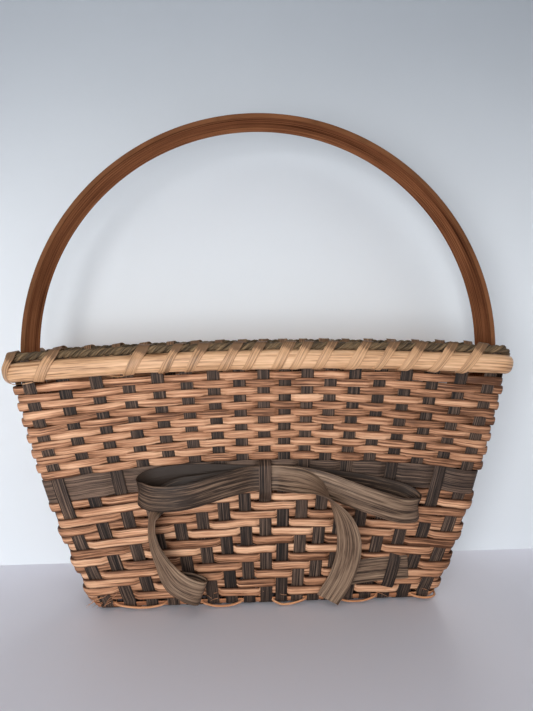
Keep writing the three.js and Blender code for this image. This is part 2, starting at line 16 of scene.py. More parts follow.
import bpy
import numpy as np
from mathutils import Matrix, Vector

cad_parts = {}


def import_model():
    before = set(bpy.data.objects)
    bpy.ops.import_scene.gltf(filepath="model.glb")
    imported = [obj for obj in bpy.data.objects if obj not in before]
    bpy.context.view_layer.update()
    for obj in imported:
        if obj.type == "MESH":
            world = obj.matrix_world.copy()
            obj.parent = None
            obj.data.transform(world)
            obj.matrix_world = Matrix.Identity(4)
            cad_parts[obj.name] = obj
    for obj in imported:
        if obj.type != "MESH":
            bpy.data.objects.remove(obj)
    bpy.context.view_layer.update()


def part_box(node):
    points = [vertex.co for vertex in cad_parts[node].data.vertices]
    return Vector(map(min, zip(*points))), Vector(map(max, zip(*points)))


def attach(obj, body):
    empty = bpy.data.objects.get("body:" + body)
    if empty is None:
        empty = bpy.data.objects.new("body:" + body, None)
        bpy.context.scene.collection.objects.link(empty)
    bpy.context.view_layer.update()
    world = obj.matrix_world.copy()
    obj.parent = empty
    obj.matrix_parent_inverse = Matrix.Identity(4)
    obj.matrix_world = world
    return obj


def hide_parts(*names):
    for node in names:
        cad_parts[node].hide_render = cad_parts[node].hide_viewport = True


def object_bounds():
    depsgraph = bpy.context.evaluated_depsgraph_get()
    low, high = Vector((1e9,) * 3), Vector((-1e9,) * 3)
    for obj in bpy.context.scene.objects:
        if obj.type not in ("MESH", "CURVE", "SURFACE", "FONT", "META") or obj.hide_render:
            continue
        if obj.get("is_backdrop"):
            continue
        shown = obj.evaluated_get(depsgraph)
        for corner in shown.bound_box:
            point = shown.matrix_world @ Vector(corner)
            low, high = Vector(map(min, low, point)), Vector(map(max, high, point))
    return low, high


LOG = logging.getLogger("basket")
MM = 0.001
BODY = "root"
SEED = 11
ROOM_COLOUR = (0.6, 0.63, 0.67, 1.0)
# The middle of a noise and of a finish's tone, which both run from 0 to 1.
MIDDLE = 0.5

Array = np.ndarray
Colour = tuple[float, float, float]
Weave = Callable[[int], bool]

UP: Array = np.array([0.0, 0.0, 1.0])


def srgb(red: int, green: int, blue: int) -> Colour:
    """Gives a display colour as the linear colour that shaders take.

    Args:
        red: From 0 to 255.
        green: From 0 to 255.
        blue: From 0 to 255.

    Returns:
        The linear colour.
    """

    def linear(value: int) -> float:
        """Undoes the display's curve on one channel."""
        share = value / 255
        return share / 12.92 if share <= 0.04045 else ((share + 0.055) / 1.055) ** 2.4

    return linear(red), linear(green), linear(blue)


def unit(vectors: Array) -> Array:
    """Scales each row to length one."""
    return vectors / np.linalg.norm(vectors, axis=-1, keepdims=True)


def ease(share: Array) -> Array:
    """Runs smoothly from 0 to 1 as the share does."""
    held = np.clip(share, 0, 1)
    return held * held * (3 - 2 * held)


def distances(points: Array) -> Array:
    """The distance along a path to each of its points."""
    steps = np.linalg.norm(np.diff(points, axis=0), axis=-1)
    return np.concatenate([[0.0], np.cumsum(steps)])


def waves(place: Array, parts: Sequence[tuple[float, float, float]]) -> Array:
    """Sizes about one that rise and fall along a strip.

    Args:
        place: Places along the strip.
        parts: The height, rate and start of each wave.

    Returns:
        A size for each place.
    """
    return 1 + sum(height * np.sin(rate * place + start) for height, rate, start in parts)


def ring_edges(count: int, start: int = 0) -> Array:
    """Pairs each point of a ring with the next one."""
    numbers = start + np.arange(count)
    return np.stack([numbers, np.roll(numbers, -1)], axis=1)


def link(name: str, data: bpy.types.ID) -> bpy.types.Object:
    """Makes an object and links it to the scene.

    Args:
        name: The object's name.
        data: Its mesh, light or camera.

    Returns:
        The object.
    """
    made = bpy.data.objects.new(name, data)
    bpy.context.scene.collection.objects.link(made)
    return made


class Sock:
    """An output socket. Arithmetic on it adds Math nodes to its graph."""

    def __init__(self, graph: Graph, socket: bpy.types.NodeSocket) -> None:
        """Keeps the socket and the graph that it belongs to."""
        self.graph = graph
        self.socket = socket

    def at(self, name: str) -> Sock:
        """Gives another output of the same node."""
        return Sock(self.graph, self.graph.find(self.socket.node.outputs, name))

    def _math(self, operation: str, first: Any, second: Any) -> Sock:
        """Adds one Math node.

        Args:
            operation: The Math node's operation.
            first: A socket or a number.
            second: A socket or a number.

        Returns:
            The node's result.
        """
        return self.graph.node("ShaderNodeMath", {"operation": operation}, {0: first, 1: second})

    def __add__(self, other: Any) -> Sock:
        """Adds."""
        return self._math("ADD", self, other)

    __radd__ = __add__

    def __sub__(self, other: Any) -> Sock:
        """Takes away."""
        return self._math("SUBTRACT", self, other)

    def __rsub__(self, other: Any) -> Sock:
        """Takes this from a number."""
        return self._math("SUBTRACT", other, self)

    def __mul__(self, other: Any) -> Sock:
        """Multiplies."""
        return self._math("MULTIPLY", self, other)

    __rmul__ = __mul__

    def __truediv__(self, other: Any) -> Sock:
        """Divides."""
        return self._math("DIVIDE", self, other)

    def __pow__(self, other: Any) -> Sock:
        """Raises to a power."""
        return self._math("POWER", self, other)

    def __abs__(self) -> Sock:
        """Drops the sign."""
        return self._math("ABSOLUTE", self, 0.0)


class Graph:
    """Adds nodes and links to a node tree."""

    def __init__(self, tree: bpy.types.NodeTree) -> None:
        """Keeps the tree."""
        self.tree = tree

    @staticmethod
    def find(sockets: Any, key: str | int) -> bpy.types.NodeSocket:
        """Finds a socket by place, identifier or name.

        Args:
            sockets: A node's inputs or outputs.
            key: The place, identifier or name.

        Returns:
            The socket.
        """
        if isinstance(key, int):
            return sockets[key]
        for socket in sockets:
            if socket.identifier == key:
                return socket
        return next(socket for socket in sockets if socket.name == key and socket.enabled)

    def node(
        self, kind: str, settings: dict[str, Any] | None = None, inputs: dict[Any, Any] | None = None,
    ) -> Sock:
        """Adds one node.

        Args:
            kind: The node's type.
            settings: Its settings, with a colour ramp's stops under "stops".
            inputs: Values or sockets for its inputs, by place, identifier or name.

        Returns:
            Its first output in use.
        """
        made = self.tree.nodes.new(kind)
        for name, value in (settings or {}).items():
            if name == "stops":
                self._set_stops(made.color_ramp, value)
            else:
                setattr(made, name, value)
        for key, value in (inputs or {}).items():
            socket = self.find(made.inputs, key)
            if isinstance(value, Sock):
                self.tree.links.new(value.socket, socket)
            else:
                socket.default_value = value
        outputs = [socket for socket in made.outputs if socket.enabled]
        return Sock(self, outputs[0]) if outputs else Sock(self, made.inputs[0])

    @staticmethod
    def _set_stops(ramp: bpy.types.ColorRamp, stops: Sequence[tuple[float, Colour]]) -> None:
        """Gives a colour ramp its stops.

        Args:
            ramp: The ramp.
            stops: Places and colours, in order.
        """
        while len(ramp.elements) < len(stops):
            ramp.elements.new(1.0)
        for element, (place, colour) in zip(ramp.elements, stops):
            element.position = place
            element.color = (*colour, 1.0)

    def vector(self, x: Any, y: Any, z: Any) -> Sock:
        """Joins three values."""
        return self.node("ShaderNodeCombineXYZ", None, {"X": x, "Y": y, "Z": z})

    def noise(self, place: Sock, scale: float = 1.0, detail: float = 3.0, rough: float = 0.55) -> Sock:
        """Adds a noise texture and gives its value."""
        sizes = {"Vector": place, "Scale": scale, "Detail": detail, "Roughness": rough}
        return self.node("ShaderNodeTexNoise", None, sizes)

    def ramp(self, value: Sock, stops: Sequence[tuple[float, Colour]]) -> Sock:
        """Turns a value into a colour."""
        return self.node("ShaderNodeValToRGB", {"stops": stops}, {"Fac": value})

    def tint(self, share: Sock, first: Any, second: Colour) -> Sock:
        """Mixes a colour into another one by a share."""
        mixed = {"Factor_Float": share, "A_Color": first, "B_Color": (*second, 1.0)}
        return self.node("ShaderNodeMix", {"data_type": "RGBA"}, mixed).at("Result_Color")

    def held(self, value: Sock) -> Sock:
        """Keeps a value from 0 to 1."""
        return self.node("ShaderNodeClamp", None, {"Value": value})

    def spread(self, value: Sock, low: float, high: float, smooth: bool = False) -> Sock:
        """Runs from 0 to 1 as a value goes from low to high."""
        shape = {"interpolation_type": "SMOOTHSTEP" if smooth else "LINEAR"}
        return self.node("ShaderNodeMapRange", shape, {"Value": value, "From Min": low, "From Max": high})

    def bump(self, height: Sock, strength: float, depth_mm: float) -> Sock:
        """Turns a height into the direction of a surface."""
        sizes = {"Strength": strength, "Distance": depth_mm * MM, "Height": height}
        return self.node("ShaderNodeBump", None, sizes)

    def blend(self, share: Sock, first: Sock, second: Sock) -> Sock:
        """Mixes two shaders by a share."""
        return self.node("ShaderNodeMixShader", None, {0: share, 1: first, 2: second})

    def seen(self) -> Sock:
        """Marks the rays that meet the pale room: the camera's, and those off or through a piece.

        Returns:
            1 on those rays and 0 on others.
        """
        light = self.node("ShaderNodeLightPath")
        rays = light.at("Is Camera Ray") + light.at("Is Glossy Ray") + light.at("Is Transmission Ray")
        return self.held(rays)


def new_material(name: str) -> tuple[bpy.types.Material, Graph]:
    """Makes an empty node material.

    Args:
        name: The material's name.

    Returns:
        The material and its graph.
    """
    material = bpy.data.materials.new(name)
    material.use_nodes = True
    material.node_tree.nodes.clear()
    return material, Graph(material.node_tree)


def close_material(graph: Graph, inputs: dict[str, Any]) -> None:
    """Ends a material in one Principled shader.

    Args:
        graph: The material's graph.
        inputs: Values or sockets of the shader.
    """
    shader = graph.node("ShaderNodeBsdfPrincipled", None, inputs)
    graph.node("ShaderNodeOutputMaterial", None, {"Surface": shader})


@dataclass(frozen=True)
class StripPlace:
    """Where a shaded point lies on its strip: metres along and across it, the strip's number, its wear and
    painted shade.
    """

    along: Sock
    across: Sock
    lot: Sock
    wear_and_shade: Sock

    @classmethod
    def read(cls, graph: Graph) -> StripPlace:
        """Reads the attributes that the loom stores.

        Args:
            graph: The material's graph.

        Returns:
            The place of the shaded point.
        """
        stored = graph.node("ShaderNodeAttribute", {"attribute_name": Loom.ATTRIBUTE}).at("Vector")
        parts = graph.node("ShaderNodeSeparateXYZ", None, {"Vector": stored})
        wear_and_shade = graph.node("ShaderNodeAttribute", {"attribute_name": Loom.WEAR_AND_SHADE}).at("Fac")
        return cls(parts.at("X"), parts.at("Y"), parts.at("Z"), wear_and_shade)

    def streaks(
        self, along: float, across: float, lots: float = 40.0, detail: float = 2.0, rough: float = 0.55,
    ) -> Sock:
        """Adds a noise that runs slowly along the strip and fast across it.

        Args:
            along: How often it changes in a metre along the strip.
            across: How often it changes in a metre across the strip.
            lots: How far apart two strips lie in it.
            detail: How many finer noises it has.
            rough: How strong those are.

        Returns:
            The noise, from -0.5 to 0.5.
        """
        graph = self.along.graph
        place = graph.vector(self.along * along, self.across * across, self.lot * lots)
        return graph.noise(place, detail=detail, rough=rough) - MIDDLE


@dataclass(frozen=True)
class ReedFinish:
    """Split reed: long pale and dark fibres, uneven tone along each strip and from strip to strip."""

    name: str
    dark: Colour
    middle: Colour
    pale: Colour
    grain: float = 1.44
    fibre_share: float = 0.4375
    patches: float = 0.75
    lots: float = 0.84
    stops: tuple[float, float, float] = (0.1, 0.48, 0.92)
    ridge_mm: float = 0.35
    ridges_per_metre: float = 1500.0
    fibres_per_ridge: float = 4.2
    grain_height: float = 0.65
    relief: float = 0.7
    roughness: float = 0.58
    patch_rough: float = 0.24
    fibre_rough: float = 0.12
    shaded_edge_mm: float = 0.0
    edge_power: float = 6.0
    edge_share: float = 0.85
    gloss: float = 0.4

    def build(self) -> bpy.types.Material:
        """Builds the material.

        Returns:
            The material.
        """
        material, graph = new_material(self.name)
        place = StripPlace.read(graph)
        grain = place.streaks(along=16, across=self.ridges_per_metre, detail=4, rough=0.6)
        fibre = place.streaks(along=70, across=self.fibres_per_ridge * self.ridges_per_metre, lots=90)
        patch = place.streaks(along=24, across=110, lots=25, detail=3)
        lot = place.streaks(along=1.5, across=0, lots=57, detail=1)
        tone = grain * self.grain + fibre * (self.fibre_share * self.grain)
        # The wear attribute adds each strip's own tone and its painted shade.
        tone = tone + patch * self.patches + lot * self.lots + place.wear_and_shade + MIDDLE
        colour = graph.ramp(tone, tuple(zip(self.stops, (self.dark, self.middle, self.pale))))
        # Darker towards the strip's edges: painted shade in the gaps between rows.
        if self.shaded_edge_mm:
            edge = (abs(place.across) / (self.shaded_edge_mm * MM)) ** self.edge_power
            colour = graph.tint(graph.held(edge * self.edge_share), colour, self.dark)
        height = grain * self.grain_height + fibre * (1 - self.grain_height)
        close_material(graph, {
            "Base Color": colour,
            "Roughness": self.roughness + patch * self.patch_rough + fibre * self.fibre_rough,
            "Normal": graph.bump(height, self.relief, self.ridge_mm),
            "Specular IOR Level": self.gloss,
        })
        return material


@dataclass(frozen=True)
class OakFinish:
    """Stained oak, split along its grain, with open pores and darker edges."""

    name: str
    dark: Colour
    middle: Colour
    pale: Colour
    edge: Colour
    half_width_mm: float
    figure: float = 2.0
    clouds: float = 0.8
    stops: tuple[float, float, float] = (0.15, 0.5, 0.88)
    pore_range: tuple[float, float] = (-0.16, -0.04)
    pore_share: float = 0.55
    pore_height: float = 0.5
    pore_rough: float = 0.04
    edge_power: float = 14.0
    edge_share: float = 0.75
    edge_clouds: float = 0.9
    ridge_mm: float = 0.25
    relief: float = 0.5
    roughness: float = 0.6
    cloud_rough: float = 0.25
    gloss: float = 0.0

    def build(self) -> bpy.types.Material:
        """Builds the material.

        Returns:
            The material.
        """
        material, graph = new_material(self.name)
        place = StripPlace.read(graph)
        figure = place.streaks(along=6, across=620, detail=5, rough=0.65)
        cloud = place.streaks(along=9, across=40)
        solid = graph.spread(place.streaks(along=42, across=2600), *self.pore_range)
        tone = figure * self.figure + cloud * self.clouds + MIDDLE
        colour = graph.ramp(tone, tuple(zip(self.stops, (self.dark, self.middle, self.pale))))
        colour = graph.tint((1.0 - solid) * self.pore_share, colour, self.dark)
        edge = (abs(place.across) / (self.half_width_mm * MM)) ** self.edge_power
        worn = graph.held(edge * (self.edge_share + cloud * self.edge_clouds))
        height = figure * (1 - self.pore_height) + solid * self.pore_height
        close_material(graph, {
            "Base Color": graph.tint(worn, colour, self.edge),
            "Roughness": self.roughness + cloud * self.cloud_rough - solid * self.pore_rough,
            "Normal": graph.bump(height, self.relief, self.ridge_mm),
            "Specular IOR Level": self.gloss,
        })
        return material


@dataclass(frozen=True)
class PlainFinish:
    """The floor or the wall behind: pale paint with a faint unevenness, and painted shade that greys it
    towards its top.

    Far from the basket it fades into the pale room. A one-sided wall is clear from behind and to shadow rays,
    so that the basket's back can be seen and lit.
    """

    name: str
    colour: Colour
    # The colour at the top, greyer as painted shade.
    top: Colour
    roughness: float = 0.8
    one_sided: bool = False
    clouds_per_metre: float = 5.0
    cloud_m: float = 0.05
    shade_heights_m: tuple[float, float] = (0.2, 0.56)
    fade_m: tuple[float, float] = (0.6, 1.1)

    def build(self) -> bpy.types.Material:
        """Builds the material.

        Returns:
            The material.
        """
        material, graph = new_material(self.name)
        place = graph.node("ShaderNodeTexCoord").at("Object")
        cloud = graph.noise(place, scale=self.clouds_per_metre) - MIDDLE
        height = graph.node("ShaderNodeSeparateXYZ", None, {"Vector": place}).at("Z") + cloud * self.cloud_m
        # Painted shade: greyer towards the top between these heights.
        shaded_top = graph.spread(height, *self.shade_heights_m, smooth=True)
        colour = graph.tint(shaded_top, (*self.colour, 1.0), self.top)
        inputs = {"Base Color": colour, "Roughness": self.roughness}
        paint = graph.node("ShaderNodeBsdfPrincipled", None, inputs)
        away = graph.node("ShaderNodeVectorMath", {"operation": "LENGTH"}, {0: place}).at("Value")
        far = graph.spread(away, *self.fade_m, smooth=True)
        room = graph.node("ShaderNodeEmission", None, {"Color": ROOM_COLOUR, "Strength": 1.0})
        paint = graph.blend(far * graph.seen(), paint, room)
        if self.one_sided:
            behind = graph.node("ShaderNodeNewGeometry").at("Backfacing")
            shadow = graph.node("ShaderNodeLightPath").at("Is Shadow Ray")
            glass = graph.node("ShaderNodeBsdfTransparent")
            paint = graph.blend(graph.held(behind + shadow), paint, glass)
        graph.node("ShaderNodeOutputMaterial", None, {"Surface": paint})
        return material


class Finish(Enum):
    """The basket's finishes, with the record's slot for each."""

    WEAVER = "natural_reed"
    TWINE = "natural_reed_twine"
    STAKE = "dyed_reed"
    BOW = "bow_reed"
    RIM = "rim_reed"
    LACE = "rim_reed_lace"
    SEAGRASS = "seagrass"
    OAK = "oak"

    @property
    def slot(self) -> str:
        """The material slot of the record."""
        return {"natural_reed_twine": "natural_reed", "rim_reed_lace": "rim_reed"}.get(self.value, self.value)


def build_finishes() -> dict[Finish, bpy.types.Material]:
    """Builds every finish once.

    Returns:
        The material of each finish.
    """
    finishes = {
        Finish.WEAVER: ReedFinish(
            "natural_reed", srgb(84, 52, 33), srgb(186, 133, 99), srgb(238, 190, 153), grain=2.08,
            patches=0.9, ridge_mm=0.55, ridges_per_metre=800.0, shaded_edge_mm=2.85, roughness=0.64, gloss=0.25),
        Finish.TWINE: ReedFinish(
            "twine", srgb(140, 82, 52), srgb(198, 138, 96), srgb(226, 176, 134), ridge_mm=0.15),
        Finish.STAKE: ReedFinish(
            "dyed_reed", srgb(26, 20, 17), srgb(79, 62, 52), srgb(134, 109, 92), grain=2.56, patches=0.525,
            lots=0.6, ridge_mm=0.5, ridges_per_metre=1350.0, roughness=0.62, gloss=0.22),
        Finish.BOW: ReedFinish(
            "bow_reed", srgb(45, 33, 25), srgb(114, 91, 74), srgb(158, 133, 110), grain=2.4, patches=0.675,
            lots=0.24, ridge_mm=0.55, ridges_per_metre=620.0, roughness=0.5, gloss=0.22),
        Finish.RIM: ReedFinish(
            "rim_reed", srgb(138, 97, 64), srgb(209, 163, 122), srgb(236, 194, 154), grain=1.92, patches=1.2,
            lots=0.24, ridge_mm=0.3, ridges_per_metre=700.0, roughness=0.5),
        Finish.LACE: ReedFinish(
            "lace_reed", srgb(112, 82, 56), srgb(192, 148, 109), srgb(226, 182, 141), grain=1.76, lots=0.48,
            ridges_per_metre=900.0, roughness=0.5),
        # Seagrass: its own dark olive-brown, made darker still as painted shade on the rim's top.
        Finish.SEAGRASS: ReedFinish(
            "seagrass", srgb(34, 26, 17), srgb(86, 69, 48), srgb(138, 113, 82), grain=2.24, patches=1.05,
            lots=0.72, ridge_mm=0.5, ridges_per_metre=1300.0, roughness=0.8),
        Finish.OAK: OakFinish(
            "oak", srgb(60, 34, 21), srgb(140, 87, 58), srgb(184, 124, 84), srgb(104, 71, 48),
            Hoop.width / 2),
    }
    return {kind: finish.build() for kind, finish in finishes.items()}


@dataclass
class Strip:
    """A path that a profile follows: points and outward directions in metres, and the profile's size.

    The lot is the strip's own number, from 0 to 1, which its tone follows. Wear and shade make places of it
    paler or, below 0, darker: a tone of its own, and painted shade where less light falls.
    """

    points: Array
    outward: Array
    girth: Array | None = None
    closed: bool = False
    lot: float = 0.5
    wear_and_shade: Array | None = None

    def frames(self) -> tuple[Array, Array]:
        """Measures the path and squares its outward directions.

        Returns:
            The distance along the path and outward directions that are square to it.
        """
        if self.closed:
            ahead = np.roll(self.points, -1, axis=0) - np.roll(self.points, 1, axis=0)
        else:
            ahead = np.gradient(self.points, axis=0)
        tangent = unit(ahead)
        square = unit(self.outward - (self.outward * tangent).sum(-1, keepdims=True) * tangent)
        return distances(self.points), square


@dataclass(frozen=True)
class Profile:
    """A strip's section in millimetres: `out` from the path and `across` it, once round."""

    FACE_SHARES = (0.6, 0.2, -0.2, -0.6)
    ROUNDNESS = 2.6

    out: Array
    across: Array

    @classmethod
    def rounded(
        cls, width: float, thickness: float, ease_mm: float, steps: int = 2, crown: float = 0.0,
    ) -> Profile:
        """A flat strip with eased edges.

        Args:
            width: The strip's width.
            thickness: Its thickness at the edges.
            ease_mm: The radius of the eased edges.
            steps: Steps in each eased edge.
            crown: How much the middle of the outer face stands proud.

        Returns:
            The profile, centred on the path.
        """
        half_width, half_thick = width / 2 - ease_mm, thickness / 2 - ease_mm
        corners = [(1, 1, 0.0), (-1, 1, 0.5), (-1, -1, 1.0), (1, -1, 1.5)]
        out, across = [], []
        for across_sign, out_sign, start in corners:
            for step in range(steps + 1):
                angle = math.pi * (start + 0.5 * step / steps)
                across.append(across_sign * half_width + ease_mm * math.cos(angle))
                out.append(out_sign * half_thick + ease_mm * math.sin(angle))
            if (across_sign, out_sign) == (1, 1):
                across.extend([half_width * share for share in cls.FACE_SHARES])
                out.extend([thickness / 2] * len(cls.FACE_SHARES))
        across_all, out_all = np.array(across), np.array(out)
        bulge = crown * (1 - (2 * across_all / width) ** 2)
        return cls(np.where(out_all > 0, out_all + bulge, out_all), across_all)

    @classmethod
    def half_round(cls, height: float, depth: float, steps: int = 10) -> Profile:
        """A strip that is flat behind and round in front.

        Args:
            height: Its height.
            depth: How far it stands out in the middle.
            steps: Steps round its front.

        Returns:
            The profile, measured from its flat back.
        """
        angles = np.linspace(-math.pi / 2, math.pi / 2, steps + 1)
        across = height / 2 * np.sign(np.sin(angles)) * np.abs(np.sin(angles)) ** (2 / cls.ROUNDNESS)
        out = depth * np.abs(np.cos(angles)) ** (2 / cls.ROUNDNESS)
        return cls(out, across)

    @classmethod
    def ring(cls, diameter: float, steps: int = 8) -> Profile:
        """A round strand."""
        angles = 2 * math.pi * np.arange(steps) / steps
        return cls(diameter / 2 * np.sin(angles), diameter / 2 * np.cos(angles))


class Loom:
    """Makes reeds: one Geometry Nodes tree sweeps a profile along guides and marks where each point lies."""

    ATTRIBUTE = "strip"
    WEAR_AND_SHADE = "wear_and_shade"

    def __init__(self) -> None:
        """Builds the tree."""
        self.tree = bpy.data.node_groups.new("reed_sweep", "GeometryNodeTree")
        self.sockets: dict[str, str] = {}
        self._build()

    def _input(self, name: str, kind: str) -> None:
        """Adds a named input to the tree and keeps its identifier."""
        socket = self.tree.interface.new_socket(name, in_out="INPUT", socket_type=kind)
        self.sockets[name] = socket.identifier

    def _build(self) -> None:
        """Adds the nodes: guide to curve, outward direction, sweep, strip places, material."""
        self._input("Guides", "NodeSocketGeometry")
        self._input("Profile", "NodeSocketObject")
        self._input("Size", "NodeSocketFloat")
        self._input("Material", "NodeSocketMaterial")
        self.tree.interface.new_socket("Reeds", in_out="OUTPUT", socket_type="NodeSocketGeometry")
        graph = Graph(self.tree)
        given = graph.node("NodeGroupInput")
        curve = graph.node("GeometryNodeMeshToCurve", None, {"Mesh": given.at("Guides")})
        outward = self._attribute(graph, "outward", "FLOAT_VECTOR")
        facing = graph.node("GeometryNodeSetCurveNormal", {"mode": "FREE"}, {
            "Curve": curve, "Normal": outward})
        section = graph.node("GeometryNodeObjectInfo", None, {"Object": given.at("Profile")}).at("Geometry")
        outline = graph.node("GeometryNodeMeshToCurve", None, {"Mesh": section})
        girth = self._attribute(graph, "girth", "FLOAT") * given.at("Size")
        swept = graph.node("GeometryNodeCurveToMesh", None, {
            "Curve": facing, "Profile Curve": outline, "Scale": girth, "Fill Caps": True})
        place = graph.vector(*(self._attribute(graph, name, "FLOAT") for name in ("along", "across", "lot")))
        kind = {"data_type": "FLOAT_VECTOR", "domain": "POINT"}
        marked = graph.node("GeometryNodeStoreNamedAttribute", kind, {
            "Geometry": swept, "Name": self.ATTRIBUTE, "Value": place})
        smooth = graph.node("GeometryNodeSetShadeSmooth", None, {"Geometry": marked, "Shade Smooth": True})
        realized = graph.node("GeometryNodeRealizeInstances", None, {"Geometry": smooth})
        finished = graph.node("GeometryNodeSetMaterial", None, {
            "Geometry": realized, "Material": given.at("Material")})
        graph.node("NodeGroupOutput", None, {0: finished})

    @staticmethod
    def _attribute(graph: Graph, name: str, kind: str) -> Sock:
        """Reads an attribute of the guides or of the profile."""
        return graph.node("GeometryNodeInputNamedAttribute", {"data_type": kind}, {"Name": name})

    @staticmethod
    def _line_mesh(name: str, points: Array, edges: Array, attributes: dict[str, Array]) -> bpy.types.Object:
        """Makes a mesh of points and edges with attributes on its points.

        Args:
            name: The object's name.
            points: Its points in metres.
            edges: Pairs of point numbers.
            attributes: Values for each point, one or three to a point.

        Returns:
            The object, linked to the scene.
        """
        mesh = bpy.data.meshes.new(name)
        mesh.from_pydata(points.tolist(), edges.tolist(), [])
        for key, values in attributes.items():
            flat = values.ndim == 1
            stored = mesh.attributes.new(key, "FLOAT" if flat else "FLOAT_VECTOR", "POINT")
            stored.data.foreach_set("value" if flat else "vector", values.astype(np.float32).ravel())
        return link(name, mesh)

    def _guides(self, strips: Sequence[Strip]) -> bpy.types.Object:
        """Joins the strips' paths into one mesh.

        Args:
            strips: The paths.

        Returns:
            A helper object with the attributes that the tree reads.
        """
        edges, rows = [], []
        start = 0
        for strip in strips:
            count = len(strip.points)
            along, square = strip.frames()
            pairs = ring_edges(count, start)
            edges.append(pairs if strip.closed else pairs[:-1])
            girth = np.ones(count) if strip.girth is None else strip.girth
            wear_and_shade = np.zeros(count) if strip.wear_and_shade is None else strip.wear_and_shade
            rows.append((along, square, girth, np.full(count, strip.lot), wear_and_shade))
            start += count
        names = ("along", "outward", "girth", "lot", self.WEAR_AND_SHADE)
        attributes = {name: np.concatenate(parts) for name, parts in zip(names, zip(*rows))}
        points = np.concatenate([strip.points for strip in strips])
        return self._line_mesh("guides", points, np.concatenate(edges), attributes)

    def sweep(
        self, name: str, strips: Sequence[Strip], profile: Profile, material: bpy.types.Material,
    ) -> bpy.types.Object:
        """Sweeps one profile along strips.

        Args:
            name: The new object's name.
            strips: The paths.
            profile: The section, the same for all of them.
            material: The finish.

        Returns:
            An object with a plain mesh.
        """
        guides = self._guides(strips)
        section = np.stack([profile.out, profile.across, np.zeros(len(profile.out))], axis=1) * MM
        ring = ring_edges(len(section))
        outline = self._line_mesh("profile", section, ring, {"across": profile.across * MM})
        modifier = guides.modifiers.new("sweep", "NODES")
        modifier.node_group = self.tree
        modifier[self.sockets["Profile"]] = outline
        modifier[self.sockets["Size"]] = 1.0
        modifier[self.sockets["Material"]] = material
        graph = bpy.context.evaluated_depsgraph_get()
        mesh = bpy.data.meshes.new_from_object(guides.evaluated_get(graph), depsgraph=graph)
        mesh.name = name
        made = link(name, mesh)
        for helper in (guides, outline):
            line = helper.data
            bpy.data.objects.remove(helper)
            bpy.data.meshes.remove(line)
        self._face_outwards(mesh)
        return made

    @staticmethod
    def _face_outwards(mesh: bpy.types.Mesh) -> None:
        """Turns the faces round where the sweep ran the other way.

        Args:
            mesh: A closed mesh.
        """
        mesh.calc_loop_triangles()
        corners = np.empty(len(mesh.loop_triangles) * 3, np.int32)
        mesh.loop_triangles.foreach_get("vertices", corners)
        places = np.empty(len(mesh.vertices) * 3)
        mesh.vertices.foreach_get("co", places)
        first, second, third = places.reshape(-1, 3)[corners.reshape(-1, 3)].transpose(1, 0, 2)
        if (first * np.cross(second, third)).sum() < 0:
            mesh.flip_normals()


